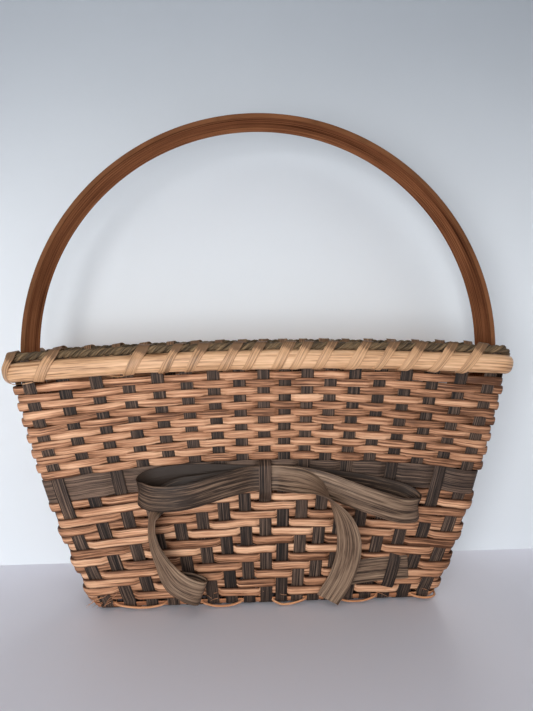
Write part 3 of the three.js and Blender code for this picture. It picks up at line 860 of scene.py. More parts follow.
@dataclass(frozen=True)
class Wall:
    """The basket's wall and the sizes that it hangs on."""

    stake_width: float = 9.5
    stake_thickness: float = 1.0
    weaver_crown: float = 1.6
    band_width: float = 19.0
    band_thickness: float = 0.9
    twine_diameter: float = 1.8
    clearance: float = 0.3
    stakes_left: int = 8
    stakes_right: int = 9
    side_stakes: int = 4
    base_stake_span: float = 252.0
    rim_stake_span: float = 362.0
    base_side_span: float = 42.0
    rim_side_span: float = 50.0
    base_bend: float = 6.0
    corner_run: float = 1.0
    crowding: float = 0.17
    bulge: float = 0.2
    rim_drop: float = 6.0
    row_sag: float = 10.0
    twill_rows: int = 13
    twill_over: int = 2
    twill_pitch: float = 7.0
    plain_rows: int = 12
    plain_pitch: float = 5.7
    float_share: float = 0.25
    rim_height: float = 15.0
    lace_gap: float = 2.1
    handle_middle_y: float = 5.35
    corner_share: float = 1 / 3

    @property
    def front(self) -> int:
        """Stakes of the front."""
        return self.stakes_left + 1 + self.stakes_right

    @property
    def half_turn(self) -> int:
        """Stakes of the front and one side."""
        return self.front + self.side_stakes

    @property
    def turn(self) -> int:
        """Stakes all round."""
        return 2 * self.half_turn

    @property
    def corner_flat(self) -> float:
        """The straight part of a corner beside the last stake."""
        return self.stake_width / 2 + self.clearance

    @property
    def corner_depth(self) -> float:
        """From the last stake of a side to the face of the front."""
        return self.base_bend + self.corner_flat

    @property
    def corner_length(self) -> float:
        """From the last stake of the front to the face of a side."""
        return self.corner_depth + self.corner_run

    @property
    def stake_face(self) -> float:
        """Where a reed that lies on a stake begins."""
        return self.stake_thickness / 2 + self.clearance

    @property
    def wall_face(self) -> float:
        """Where something that lies on the rows begins."""
        return self.stake_face + self.weaver_crown + self.clearance

    @property
    def base_float(self) -> float:
        """How far a long stake rises over or dips under the base's cross stakes."""
        return self.stake_thickness + self.clearance

    @property
    def base_middle(self) -> float:
        """Height of the cross stakes in the base."""
        return self.stake_thickness / 2 + self.base_float

    @property
    def foot(self) -> float:
        """Height of the wall's foot above the floor."""
        return self.base_middle + self.base_bend

    @property
    def twill_start(self) -> float:
        """Where the twill rows begin."""
        return self.twine_diameter + 2 * self.clearance

    @property
    def band_start(self) -> float:
        """Where the wide band begins."""
        return self.twill_start + self.twill_rows * self.twill_pitch

    @property
    def plain_start(self) -> float:
        """Where the plain rows begin."""
        return self.band_start + self.band_width + self.clearance

    @property
    def rim_start(self) -> float:
        """Where the rim begins."""
        return self.plain_start + self.plain_rows * self.plain_pitch + self.lace_gap

    @property
    def height(self) -> float:
        """The wall's height above its foot."""
        return self.rim_start + self.rim_height

    @property
    def middle_y(self) -> float:
        """Depth of the middle of the base. The hoop stands over the middle of the rim."""
        return self.handle_middle_y + (self.rim_side_span - self.base_side_span) / 2

    def front_share(self, place: Array) -> Array:
        """Where stakes of the front stand, closest together in the middle.

        Args:
            place: Stations along the front.

        Returns:
            Shares of the half span, from -1 to 1.
        """
        offset = place - self.stakes_left
        even = np.where(offset < 0, offset / self.stakes_left, offset / self.stakes_right)
        return even * (1 - self.crowding * (1 - np.abs(even)))

    def _plan(self, station: Array) -> tuple[Array, Array, Array]:
        """Where stations lie in plan.

        Args:
            station: Stations round the wall.

        Returns:
            Shares of the stake spans, of a corner's straight parts and of its round part, each in x and y.
        """
        wrapped = np.mod(station, self.turn)
        rear = wrapped >= self.half_turn
        sign = np.where(rear, -1.0, 1.0)
        place = np.where(rear, wrapped - self.half_turn, wrapped)
        last = self.front - 1
        share = self.front_share(np.where(rear, last - place, place))
        side = 2 * (place - self.front) / (self.side_stakes - 1) - 1
        on_front, on_side = place <= last, (place >= self.front) & (place <= self.half_turn - 1)
        first_corner = (place > last) & (place < self.front)
        through = np.where(first_corner, place - last, place - self.half_turn + 1)
        round_share = np.clip((through - self.corner_share) / (1 - 2 * self.corner_share), 0, 1)
        leaving = np.clip(through / self.corner_share, 0, 1)
        arriving = np.clip((1 - through) / self.corner_share, 0, 1)
        sine, cosine = np.sin(round_share * math.pi / 2), np.cos(round_share * math.pi / 2)
        zones = [on_front, first_corner, on_side]
        one, zero = np.ones_like(place), np.zeros_like(place)

        def pick(options: Sequence[Array], otherwise: Array) -> Array:
            """Takes each station's value from its zone, turned round behind."""
            return sign * np.select(zones, options, otherwise)

        span = (np.where(on_front, share, sign), pick([-one, -one, side], one))
        flat = (pick([zero, leaving, one], arriving), pick([-one, -arriving, zero], leaving))
        curve = (pick([zero, sine, one], cosine), pick([-one, -cosine, zero], sine))
        return np.stack(span), np.stack(flat), np.stack(curve)

    def point(self, station: Any, height: Any, out: Any = 0.0, side_shift: Any = 0.0) -> Array:
        """Points of the wall in metres.

        Args:
            station: Stations round the wall.
            height: Heights above its foot.
            out: Distance out from the stakes' middle.
            side_shift: Added to that distance on the two sides.

        Returns:
            One row of coordinates for each point.
        """
        station, height, out, side_shift = np.broadcast_arrays(*(
            np.asarray(value, float) for value in (station, height, out, side_shift)))
        level = height / self.height
        span, flat, curve = self._plan(station)
        swell = level + self.bulge * level * (1 - level)
        half_length = (self.base_stake_span + (self.rim_stake_span - self.base_stake_span) * swell) / 2
        half_depth = (self.base_side_span + (self.rim_side_span - self.base_side_span) * level) / 2
        round_x, round_y = self.corner_length - self.corner_flat, self.corner_depth - self.corner_flat
        stake_x = span[0] * half_length + flat[0] * self.corner_flat
        stake_y = span[1] * half_depth + flat[1] * self.corner_flat
        x = stake_x + curve[0] * (round_x + out + side_shift)
        y = self.middle_y + self.base_side_span / 2 - half_depth + stake_y + curve[1] * (round_y + out)
        share = (stake_x + curve[0] * round_x) / (half_length + self.corner_length)
        drop = self.rim_drop * level + 4 * self.row_sag * level * (1 - level)
        z = self.foot + height - drop * share * share
        return np.stack([x, y, z], axis=-1) * MM

    def outward(
        self, station: Any, height: Any, step: float = 0.02, rise: float = 1.0,
    ) -> tuple[Array, Array]:
        """Directions of the wall at points of it.

        Args:
            station: Stations round the wall.
            height: Heights above its foot.
            step: How far along the wall its direction is measured.
            rise: How far up it.

        Returns:
            The outward and the upward directions.
        """
        station, height = np.asarray(station), np.asarray(height)
        ahead = self.point(station + step, height) - self.point(station - step, height)
        upward = unit(self.point(station, height + rise) - self.point(station, height - rise))
        return unit(np.cross(ahead, upward)), upward

    def sideways(self, station: Array) -> Array:
        """From 0 on the front and back to 1 on the two sides."""
        return np.abs(self._plan(station)[2][0])

    def is_corner(self, stake: int) -> bool:
        """Whether a corner lies between this stake and the next one."""
        return stake % self.half_turn in (self.front - 1, self.half_turn - 1)

    def stations(self, per_gap: int, per_corner: int) -> Array:
        """Stations all round, starting behind so that the ends of a strip lie at the back.

        Args:
            per_gap: Points from one stake to the next.
            per_corner: Points round a corner.

        Returns:
            Rising stations, once round.
        """
        start = self.half_turn + self.front // 2
        stakes = range(start, start + self.turn)
        counts = [per_corner if self.is_corner(stake) else per_gap for stake in stakes]
        return np.concatenate([stake + np.arange(count) / count for stake, count in zip(stakes, counts)])

    def plain_weave(self, row: int) -> Weave:
        """Over one stake and under one."""
        return lambda stake: (stake + row) % 2 == 1

    def twill_weave(self, row: int) -> Weave:
        """Over two stakes and under two, one stake on in each row."""
        return lambda stake: (stake + self.twill_rows - row) % (2 * self.twill_over) >= self.twill_over

    def rows(self) -> list[tuple[float, float, Weave]]:
        """Lists the rows from the bottom up.

        Returns:
            The foot, height and weave of each row.
        """
        found = [(self.clearance, self.twine_diameter, self.twill_weave(0))]
        for row in range(1, self.twill_rows + 1):
            bottom = self.twill_start + (row - 1) * self.twill_pitch
            found.append((bottom, self.twill_pitch, self.twill_weave(row)))
        found.append((self.band_start, self.band_width, self.plain_weave(0)))
        for row in range(1, self.plain_rows + 1):
            bottom = self.plain_start + (row - 1) * self.plain_pitch
            found.append((bottom, self.plain_pitch, self.plain_weave(row)))
        return found


class Workshop:
    """Keeps what every sub-assembly needs: the wall, the loom, the finishes and the seeded dice."""

    def __init__(self, wall: Wall) -> None:
        """Builds the loom and the finishes.

        Args:
            wall: The basket's wall.
        """
        self.wall = wall
        self.loom = Loom()
        self.materials = build_finishes()
        self.dice = np.random.default_rng(SEED)

    def make(
        self, node: str, strips: Sequence[Strip], profile: Profile, finish: Finish, extra: bool = False,
    ) -> bpy.types.Object:
        """Sweeps a piece that stands for one CAD node.

        Args:
            node: The node's name.
            strips: The paths.
            profile: The section.
            finish: The finish.
            extra: Whether the piece is an extra one, which hides no CAD part.

        Returns:
            The piece, riding on the basket.
        """
        piece = self.loom.sweep(f"reed_{node}", strips, profile, self.materials[finish])
        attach(piece, BODY)
        if not extra:
            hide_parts(node)
        LOG.info("%s: %d faces", piece.name, len(piece.data.polygons))
        return piece


@dataclass
class WovenRows:
    """The rows that weave round the wall."""

    shop: Workshop
    steps: int = 8
    corner_steps: int = 12
    waver: float = 0.4
    lie_waver: float = 0.12
    lie_start: float = 0.9
    girth_waver: float = 0.025
    outside_share: float = 0.42
    inside_share: float = 0.0
    narrow: float = 0.85
    plain_swell: float = 0.3
    twill_swell: float = 0.16
    side_swell: float = 0.08
    row_gap: float = 0.1
    row_ease: float = 0.5
    row_crown: float = 0.5
    band_ease: float = 0.3
    twine_dip: float = 6.6
    splint_width: float = 6.0
    splint_thickness: float = 0.8
    splint_ease: float = 0.3
    splint_tilt: float = 0.75
    splint_lot: float = 0.37
    splint_tone: float = -0.22
    # How much darker the rows grow towards the right: painted shade where the light falls off.
    right_painted_shade: float = 0.17

    def _stations(self) -> Array:
        """Stations of a row all round."""
        return self.shop.wall.stations(self.steps, self.corner_steps)

    def _sides(self, station: Array, height: float, weave: Weave) -> Array:
        """How a row changes sides.

        Args:
            station: Stations along it.
            height: Its height.
            weave: Where it passes outside.

        Returns:
            From -1 inside to 1 outside.
        """
        wall = self.shop.wall
        stake = np.floor(station).astype(int)
        here, after = wall.point(stake, height), wall.point(stake + 1, height)
        covered = wall.stake_width * MM / np.linalg.norm(after - here, axis=-1)
        side = np.array([1.0 if weave(number % wall.turn) else -1.0 for number in range(2 * wall.turn + 2)])
        near, far = side[stake], side[stake + 1]
        corner = np.array([wall.is_corner(number) for number in stake])
        leaves, arrives = (
            np.where(corner, wall.corner_share, covered / 2 + (1 - covered) * np.where(
                end > 0, self.outside_share, self.inside_share)) for end in (near, far))
        return near + (far - near) * ease((station - stake - leaves) / (1 - leaves - arrives))

    def _waver(self, station: Array, amount: float) -> Array:
        """A slow unevenness along a row.

        Args:
            station: Stations along it.
            amount: How uneven it is.

        Returns:
            A value about 0 for each station.
        """
        turn = self.shop.wall.turn
        knots = self.shop.dice.normal(0.0, amount, turn)
        return np.interp(np.mod(station, turn), np.arange(turn + 1), np.append(knots, knots[0]))

    def _row(
        self, row: tuple[float, float, Weave], thickness: float, swell: float = 0.0, dip: float = 0.0,
    ) -> Strip:
        """The path of one row.

        Args:
            row: Its foot, height and weave.
            thickness: Its thickness.
            swell: How much wider its floats are in their middle than at their ends.
            dip: How far its floats outside hang below the rest.

        Returns:
            A closed strip.
        """
        wall = self.shop.wall
        bottom, height, weave = row
        station = self._stations()
        middle = bottom + height / 2
        side = self._sides(station, middle, weave)
        reach = wall.stake_face + thickness / 2
        heights = middle + self._waver(station, self.waver) - dip * self._hang(side)
        out = side * reach + np.abs(self._waver(station, self.lie_waver)) * (side > self.lie_start)
        outward, _ = wall.outward(station, middle)
        girth = self.narrow + swell * (self._hang(side) + self._hang(-side))
        girth = girth + self._waver(station, self.girth_waver)
        girth = girth + self.side_swell * (np.mod(station, wall.half_turn) > wall.front - 1)
        points = wall.point(station, heights, out)
        # Darker towards the right of the front: painted shade, not age.
        wear_and_shade = -self.right_painted_shade * ease(points[:, 0] / MM * 2 / wall.rim_stake_span)
        return Strip(points, outward, girth, True, float(self.shop.dice.random()), wear_and_shade)

    def _hang(self, side: Array) -> Array:
        """How far each place of a float hangs: nothing at its ends and most in its middle.

        Args:
            side: From -1 inside to 1 outside along a row.

        Returns:
            From 0 to 1 along the floats outside, and 0 elsewhere.
        """
        window = np.hanning(2 * self.steps + 3)[1:-1]
        shown = np.pad(np.clip(side, 0, 1), len(window) // 2, mode="wrap")
        return np.convolve(shown, window / window.sum(), mode="valid")

    def _splint(self) -> Strip:
        """A natural splint that lies inside the stakes' bends, all round the edge of the base.

        Returns:
            A closed strip.
        """
        wall = self.shop.wall
        station = self._stations()
        outward, _ = wall.outward(station, 0.0)
        flat = unit(outward * (1 - UP))
        facing = unit(flat - self.splint_tilt * UP)
        radius = wall.base_bend - wall.stake_face - self.splint_thickness / 2
        points = wall.point(station, 0.0) - wall.base_bend * MM * flat + radius * MM * facing
        wear_and_shade = np.full(len(points), self.splint_tone)
        return Strip(points, facing, closed=True, lot=self.splint_lot, wear_and_shade=wear_and_shade)

    def build(self) -> None:
        """Makes the twining, both sets of rows and the wide band."""
        wall = self.shop.wall
        foot, *twill = wall.rows()[:wall.twill_rows + 1]
        band, *plain = wall.rows()[wall.twill_rows + 1:]
        twine = self._row(foot, wall.twine_diameter, dip=self.twine_dip)
        twine.girth = None
        self.shop.make("base_twining", [twine], Profile.ring(wall.twine_diameter), Finish.TWINE)
        splint = Profile.rounded(self.splint_width, self.splint_thickness, self.splint_ease)
        self.shop.make("base_splint", [self._splint()], splint, Finish.TWINE, extra=True)
        edge = wall.weaver_crown - self.row_crown
        kinds = (("twill_row", twill, self.twill_swell), ("plain_row", plain, self.plain_swell))
        for stem, rows, swell in kinds:
            for number, row in enumerate(rows, 1):
                strip = self._row(row, wall.weaver_crown, swell)
                profile = Profile.rounded(row[1] - self.row_gap, edge, self.row_ease, crown=self.row_crown)
                self.shop.make(f"{stem}_{number:02d}", [strip], profile, Finish.WEAVER)
        strip = self._row(band, wall.band_thickness)
        strip.girth = None
        profile = Profile.rounded(wall.band_width, wall.band_thickness, self.band_ease)
        self.shop.make("dark_band", [strip], profile, Finish.STAKE)


@dataclass
class Stakes:
    """The upright reeds: cross stakes from front to back and long stakes from side to side."""

    shop: Workshop
    step: float = 1.5
    sway: float = 0.28
    bend_steps: int = 8
    base_steps: int = 220
    eased: float = 0.35
    edge_loss: float = 0.2
    crown: float = 0.1
    bow_ramp_rows: int = 2
    tuck_margin: float = 1.0
    tuck_ramp: float = 9.0
    tone: float = -0.2

    def _profile(self) -> Profile:
        """The stakes' section: flat reed with eased edges.

        Returns:
            The profile.
        """
        wall = self.shop.wall
        thickness = wall.stake_thickness - self.edge_loss
        return Profile.rounded(wall.stake_width, thickness, self.eased, crown=self.crown)

    def _sway(self, station: int, heights: Array) -> Array:
        """How far the rows push a stake in and out.

        Args:
            station: Its place round the wall.
            heights: Heights along it.

        Returns:
            Distances out.
        """
        wall = self.shop.wall
        rows = wall.rows()
        middles = [bottom + height / 2 for bottom, height, _ in rows]
        pushes = [-1.0 if weave(station % wall.turn) else 1.0 for _, _, weave in rows]
        return self.sway * np.interp(heights, [0.0, *middles, wall.height], [0.0, *pushes, 0.0])

    def _heights(self) -> Array:
        """Heights at which a stake has a point."""
        wall = self.shop.wall
        return np.linspace(0.0, wall.height, round(wall.height / self.step) + 1)

    def _climb(self, station: int, outward: Array, lift: Array | None = None) -> tuple[Array, Array]:
        """A stake up one wall from its foot.

        Args:
            station: Its place round the wall.
            outward: The wall's outward direction.
            lift: Extra distance out at each height.

        Returns:
            Points and outward directions.
        """
        wall = self.shop.wall
        heights = self._heights()
        out = self._sway(station, heights) + (0.0 if lift is None else lift)
        return wall.point(np.full(len(heights), station), heights, out), np.tile(outward, (len(heights), 1))

    def _bend(self, station: int, outward: Array) -> tuple[Array, Array]:
        """The quarter bend from a wall's foot into the base.

        Args:
            station: The stake's place round the wall.
            outward: The wall's outward direction.

        Returns:
            Points and outward directions.
        """
        wall = self.shop.wall
        angles = np.linspace(0, math.pi / 2, self.bend_steps + 1)[1:, None]
        facing = np.cos(angles) * outward - np.sin(angles) * UP
        radius = wall.base_bend * MM
        return wall.point(station, 0.0) - radius * outward + radius * facing, facing

    def _stake(
        self, stations: tuple[int, int], outward: Array, base: Array, lift: Array | None = None,
    ) -> Strip:
        """A stake up two opposite walls.

        Args:
            stations: Its places on the two walls.
            outward: The first wall's outward direction.
            base: Points between the two bends.
            lift: Extra distance out at each height of the first wall.

        Returns:
            An open strip.
        """
        first, second = self._climb(stations[0], outward, lift), self._climb(stations[1], -outward)
        bend, other_bend = self._bend(stations[0], outward), self._bend(stations[1], -outward)
        points = np.concatenate([first[0][::-1], bend[0], base, other_bend[0][::-1], second[0]])
        under = np.tile(-UP, (len(base), 1))
        facing = np.concatenate([first[1][::-1], bend[1], under, other_bend[1][::-1], second[1]])
        wear_and_shade = np.full(len(points), self.tone)
        return Strip(points, facing, lot=float(self.shop.dice.random()), wear_and_shade=wear_and_shade)

    def _lifts(self) -> dict[int, Array]:
        """How the middle stake leaves the wall over the bow, and another over the ribbon's tucked end.

        Returns:
            Extra distance out at each height, by stake.
        """
        wall = self.shop.wall
        bow = Bow(self.shop)
        top = bow.level + bow.width / 2 + wall.clearance
        foot = bow.level - bow.width / 2 - wall.clearance
        heights = self._heights()
        ramp_foot = wall.band_start - self.bow_ramp_rows * wall.twill_pitch
        rise = ease((heights - ramp_foot) / (foot - ramp_foot))
        ramp_top = wall.band_start + wall.band_width
        fall = ease((ramp_top - heights) / (ramp_top - top))
        reach = bow.width / 2 + self.tuck_margin + self.tuck_ramp
        reach = reach - np.abs(heights - bow.level - bow.tuck_height)
        tucked = bow.tuck_lift * ease(reach / self.tuck_ramp)
        return {wall.stakes_left: bow.stake_lift * np.minimum(rise, fall), bow.tuck_stake: tucked}

    def _base_floats(self, number: int) -> Array:
        """A long stake's way over and under the cross stakes of the base.

        Args:
            number: The stake's number, from the front.

        Returns:
            Points from left to right.
        """
        wall = self.shop.wall
        stakes = np.arange(wall.front)
        places = wall.point(stakes, 0.0)[:, 0] / MM
        side = np.where((stakes + number) % (2 * wall.twill_over) < wall.twill_over, -1.0, 1.0)
        half = wall.stake_width / 2
        x = np.linspace(places[0] - half, places[-1] + half, self.base_steps)
        after = np.clip(np.searchsorted(places, x), 1, len(places) - 1)
        gap = places[after] - places[after - 1]
        held = (half + wall.float_share * (gap - wall.stake_width)) / gap
        through = ((x - places[after - 1]) / gap - held) / (1 - 2 * held)
        drop = side[after - 1] + (side[after] - side[after - 1]) * ease(through)
        y = wall.point(wall.front + number, 0.0)[1] / MM
        return np.stack([x, np.full(len(x), y), wall.base_middle + drop * wall.base_float], axis=-1) * MM

    def build(self) -> None:
        """Makes the cross stakes and the long stakes."""
        wall = self.shop.wall
        front, left = np.array([0.0, -1.0, 0.0]), np.array([-1.0, 0.0, 0.0])
        lifts = self._lifts()
        for stake in range(wall.front):
            stations = (stake, wall.half_turn + wall.front - 1 - stake)
            strip = self._stake(stations, front, np.empty((0, 3)), lifts.get(stake))
            self.shop.make(f"cross_stake_{stake + 1:02d}", [strip], self._profile(), Finish.STAKE)
        for stake in range(wall.side_stakes):
            stations = (wall.turn - 1 - stake, wall.front + stake)
            strip = self._stake(stations, left, self._base_floats(stake))
            self.shop.make(f"long_stake_{stake + 1:02d}", [strip], self._profile(), Finish.STAKE)


@dataclass
class Rim:
    """The two rim bands, the seagrass on them and the lace that binds them."""

    shop: Workshop
    outer_thickness: float = 7.0
    inner_thickness: float = 5.0
    band_steps: tuple[int, int] = (3, 14)
    band_waves: tuple[tuple[float, float, float], ...] = ((0.025, 1.7, 0.0), (0.02, 0.61, 1.0))
    seagrass_diameter: float = 6.8
    seagrass_sink: float = 1.1
    side_tuck: float = 2.5
    side_sink: float = 3.0
    seagrass_steps: tuple[int, int] = (20, 30)
    seagrass_turns: int = 48
    strand_share: float = 0.53
    strand_sides: int = 9
    strand_lumps: int = 61
    strand_lump: float = 0.1
    strand_lots: tuple[float, ...] = (0.2, 0.5, 0.8)
    handle_thickness: float = 5.0
    lace_width: float = 7.4
    lace_thickness: float = 0.45
    lace_ease: float = 0.2
    lace_crown: float = 0.12
    lace_clearance: float = 0.1
    lace_slant: float = 0.7
    lace_waves: tuple[tuple[float, float, float], ...] = ((0.12, 2.3, 0.0), (0.06, 9.1, 0.0))
    lace_crossing: tuple[float, float] = (0.12, 0.96)
    lace_end: float = 0.6
    # Painted shade on the lace over the rim's top: how dark, where it begins and how fast it grows.
    top_painted_shade: float = 0.5
    top_shade_start: float = 14.0
    top_shade_rise: float = 3.5
    front_wraps: tuple[float, ...] = (
        0.72, 3.45, 4.6, 5.5, 6.75, 7.65, 8.9, 9.7, 10.7, 12.05, 13.1, 14.1, 15.2, 16.2)
    corner_wrap: float = -0.45
    corner_slant: float = 0.25
    wrap_steps: int = 48
    outline_steps: tuple[int, int, int] = (12, 8, 14)
    foot_margin: float = 1.0

    @property
    def inner_shift(self) -> float:
        """How far the inner band steps in on the sides, where the hoop's legs pass."""
        wall = self.shop.wall
        return wall.wall_face + self.handle_thickness + wall.clearance - wall.stake_face

    @property
    def seagrass_shift(self) -> float:
        """How far the seagrass steps out on the sides."""
        wall = self.shop.wall
        return max(0.0, self.seagrass_diameter / 2 + wall.clearance - wall.wall_face) - self.side_tuck

    def _band(self, out: float, shift: float) -> Strip:
        """A smooth band round the rim.

        Args:
            out: Distance of its back from the stakes' middle.
            shift: Added to that distance on the two sides.

        Returns:
            A closed strip.
        """
        wall = self.shop.wall
        station = wall.stations(*self.band_steps)
        height = wall.rim_start + wall.rim_height / 2
        points = wall.point(station, height, out, shift)
        outward, _ = wall.outward(station, height)
        return Strip(points, outward, waves(station, self.band_waves), True)

    def _seagrass(self) -> list[Strip]:
        """The strands of the twisted seagrass.

        Returns:
            Closed strips that wind round one another.
        """
        wall = self.shop.wall
        station = wall.stations(*self.seagrass_steps)
        radius = self.seagrass_diameter / 2
        height = wall.rim_start + wall.rim_height + radius - self.seagrass_sink
        sunk = height - self.side_sink * wall.sideways(station)
        centre = wall.point(station, sunk, 0.0, self.seagrass_shift)
        outward, upward = wall.outward(station, height)
        along = distances(np.concatenate([centre, centre[:1]]))
        share = along[:-1] / along[-1]
        strips = []
        for strand, lot in enumerate(self.strand_lots):
            angle = 2 * math.pi * (self.seagrass_turns * share + strand / len(self.strand_lots))
            facing = np.cos(angle)[:, None] * outward + np.sin(angle)[:, None] * upward
            lumps = waves(share, [(self.strand_lump, 2 * math.pi * self.strand_lumps, strand)])
            offset = (1 - self.strand_share) * radius * MM
            strips.append(Strip(centre + offset * facing, facing, lumps, True, lot))
        return strips

    def _outline(self) -> Array:
        """The outline that the lace follows round the rim's section.

        Returns:
            Rows of distance out, height above the rim's foot, side shift and outward direction, once round
            from the foot of the outer band.
        """
        wall = self.shop.wall
        middle, face = wall.rim_height / 2, wall.stake_face
        outer_steps, inner_steps, grass_steps = self.outline_steps
        outer = Profile.half_round(wall.rim_height, self.outer_thickness, outer_steps)
        inner = Profile.half_round(wall.rim_height, self.inner_thickness, inner_steps)
        grass = Profile.ring(self.seagrass_diameter, grass_steps)
        grass_up = wall.rim_height + self.seagrass_diameter / 2 - self.seagrass_sink
        points = [(face + o, middle + a, -self.side_tuck) for o, a in zip(outer.out, outer.across)]
        points += [(-face - o, middle + a, -self.inner_shift) for o, a in zip(inner.out, inner.across)]
        points += [(o, grass_up + a, self.seagrass_shift) for o, a in zip(grass.out, grass.across)]
        hull = self._hull(points)
        foot = min(hull, key=lambda point: (point[1] > self.foot_margin, -point[0]))
        start = hull.index(foot)
        loop = np.array(hull[start:] + hull[:start] + [foot])
        lengths = distances(loop[:, :2])
        even = np.linspace(0, lengths[-1], self.wrap_steps, endpoint=False)
        sampled = np.stack([np.interp(even, lengths, loop[:, column]) for column in range(3)], axis=-1)
        ahead = np.roll(sampled, -1, axis=0) - np.roll(sampled, 1, axis=0)
        normal = unit(np.stack([ahead[:, 1], -ahead[:, 0]], axis=-1))
        sampled[:, :2] += normal * (self.lace_clearance + self.lace_thickness / 2)
        return np.concatenate([sampled, normal], axis=-1)

    @staticmethod
    def _hull(points: Sequence[tuple[float, float, float]]) -> list[tuple[float, float, float]]:
        """The convex outline round points.

        Args:
            points: Points whose first two values are their place.

        Returns:
            Those on the outline, anticlockwise.
        """

        def chain(ordered: Sequence[tuple[float, float, float]]) -> list[tuple[float, float, float]]:
            """Half the outline, from the first point to the one before the last.

            Args:
                ordered: The points in order of place.

            Returns:
                Those that only ever turn left.
            """
            kept: list[tuple[float, float, float]] = []
            for point in ordered:
                while len(kept) > 1:
                    (ax, ay, _), (bx, by, _) = kept[-2:]
                    if (bx - ax) * (point[1] - ay) - (by - ay) * (point[0] - ax) > 0:
                        break
                    kept.pop()
                kept.append(point)
            return kept[:-1]

        ordered = sorted(points)
        return chain(ordered) + chain(ordered[::-1])

    def _wraps(self) -> list[float]:
        """Stations where the lace crosses the middle of the outer band.

        Returns:
            Rising stations, once round from the left of the front.
        """
        wall = self.shop.wall
        back = [stake + 0.5 for stake in range(wall.half_turn - 1, wall.half_turn + wall.front)]
        return [*self.front_wraps, *back, wall.turn + self.corner_wrap]

    def _lace(self) -> Strip:
        """The lace's path round and round the rim.

        Returns:
            An open strip.
        """
        wall = self.shop.wall
        outline = self._outline()
        middles = self._wraps()
        share = np.arange(self.wrap_steps) / self.wrap_steps
        top = float(np.argmax(outline[:, 1])) / self.wrap_steps
        leaves, arrives = top + self.lace_crossing[0], self.lace_crossing[1]
        slants = [self.corner_slant if wall.is_corner(int(middle)) else self.lace_slant for middle in middles]
        feet = [middle - slant / 2 for middle, slant in zip(middles, slants)]
        turns = []
        for start, slant, end in zip(feet, slants, [*feet[1:], feet[-1] + self.lace_end]):
            climbed = start + slant * np.clip(share / top, 0, 1)
            turns.append(climbed + (end - start - slant) * ease((share - leaves) / (arrives - leaves)))
        stations, shape = np.concatenate(turns), np.tile(outline, (len(turns), 1))
        heights = wall.rim_start + shape[:, 1]
        outward, upward = wall.outward(stations, heights)
        facing = shape[:, 3:4] * outward + shape[:, 4:5] * upward
        points = wall.point(stations, heights, shape[:, 0], shape[:, 2])
        # The lace darkens over the rim's top: painted shade, not grime.
        wear_and_shade = -self.top_painted_shade * ease((shape[:, 1] - self.top_shade_start) / self.top_shade_rise)
        return Strip(points, facing, waves(stations, self.lace_waves), wear_and_shade=wear_and_shade)

    def build(self) -> None:
        """Makes the bands, the seagrass and the lace."""
        wall = self.shop.wall
        outer = Profile.half_round(wall.rim_height, self.outer_thickness)
        inner = Profile.half_round(wall.rim_height, self.inner_thickness)
        inward = Profile(-inner.out, inner.across)
        outer_band = self._band(wall.stake_face, -self.side_tuck)
        inner_band = self._band(-wall.stake_face, -self.inner_shift)
        self.shop.make("rim_outer_band", [outer_band], outer, Finish.RIM)
        self.shop.make("rim_inner_band", [inner_band], inward, Finish.RIM)
        strand = Profile.ring(self.seagrass_diameter * self.strand_share, self.strand_sides)
        self.shop.make("rim_seagrass", self._seagrass(), strand, Finish.SEAGRASS)
        lace = Profile.rounded(self.lace_width, self.lace_thickness, self.lace_ease, crown=self.lace_crown)
        self.shop.make("rim_lacing", [self._lace()], lace, Finish.LACE)


@dataclass
class Hoop:
    """The bent oak handle, whose legs go down inside the two sides."""

    shop: Workshop
    width: float = 33.0
    thickness: float = 3.8
    eased: float = 0.9
    ease_steps: int = 4
    leg: float = 60.0
    arch_steps: int = 150
    leg_steps: int = 24

    def _leg(self, station: float) -> Array:
        """A leg from its end up to the rim.

        Args:
            station: Its place round the wall.

        Returns:
            Points of its middle.
        """
        wall = self.shop.wall
        heights = wall.rim_start - self.leg * (1 - np.linspace(0, 1, self.leg_steps + 1))
        middle = wall.wall_face + self.thickness / 2
        points = wall.point(np.full(len(heights), station), heights, 0.0, -middle)
        points[:, 1] = wall.handle_middle_y * MM
        return points

    def build(self) -> None:
        """Makes the hoop."""
        wall = self.shop.wall
        right = wall.front + (wall.side_stakes - 1) / 2
        top = wall.point(right, wall.height)
        centre = np.array([0.0, wall.handle_middle_y * MM, top[2]])
        radius = top[0] - (wall.wall_face + self.thickness / 2) * MM
        angles = np.linspace(math.pi, 0, self.arch_steps + 1)
        arch = centre + radius * np.stack([np.cos(angles), np.zeros(len(angles)), np.sin(angles)], axis=-1)
        points = np.concatenate([self._leg(right + wall.half_turn), arch, self._leg(right)[::-1]])
        outward = points - centre
        outward[:, 2] = np.where(points[:, 2] < top[2], 0.0, outward[:, 2])
        profile = Profile.rounded(self.width, self.thickness, self.eased, self.ease_steps)
        self.shop.make("hoop_handle", [Strip(points, unit(outward))], profile, Finish.OAK)


@dataclass(frozen=True)
class Loop:
    """A loop of the bow.

    It has its side, reach, droop and bulge, shares of the droop on the way, its tone and lot, and the layer
    of the knot that its front end lies in.
    """

    sign: int
    reach: float
    droop: float
    bulge: float
    falls: tuple[float, ...]
    tone: float
    lot: float
    layer: int


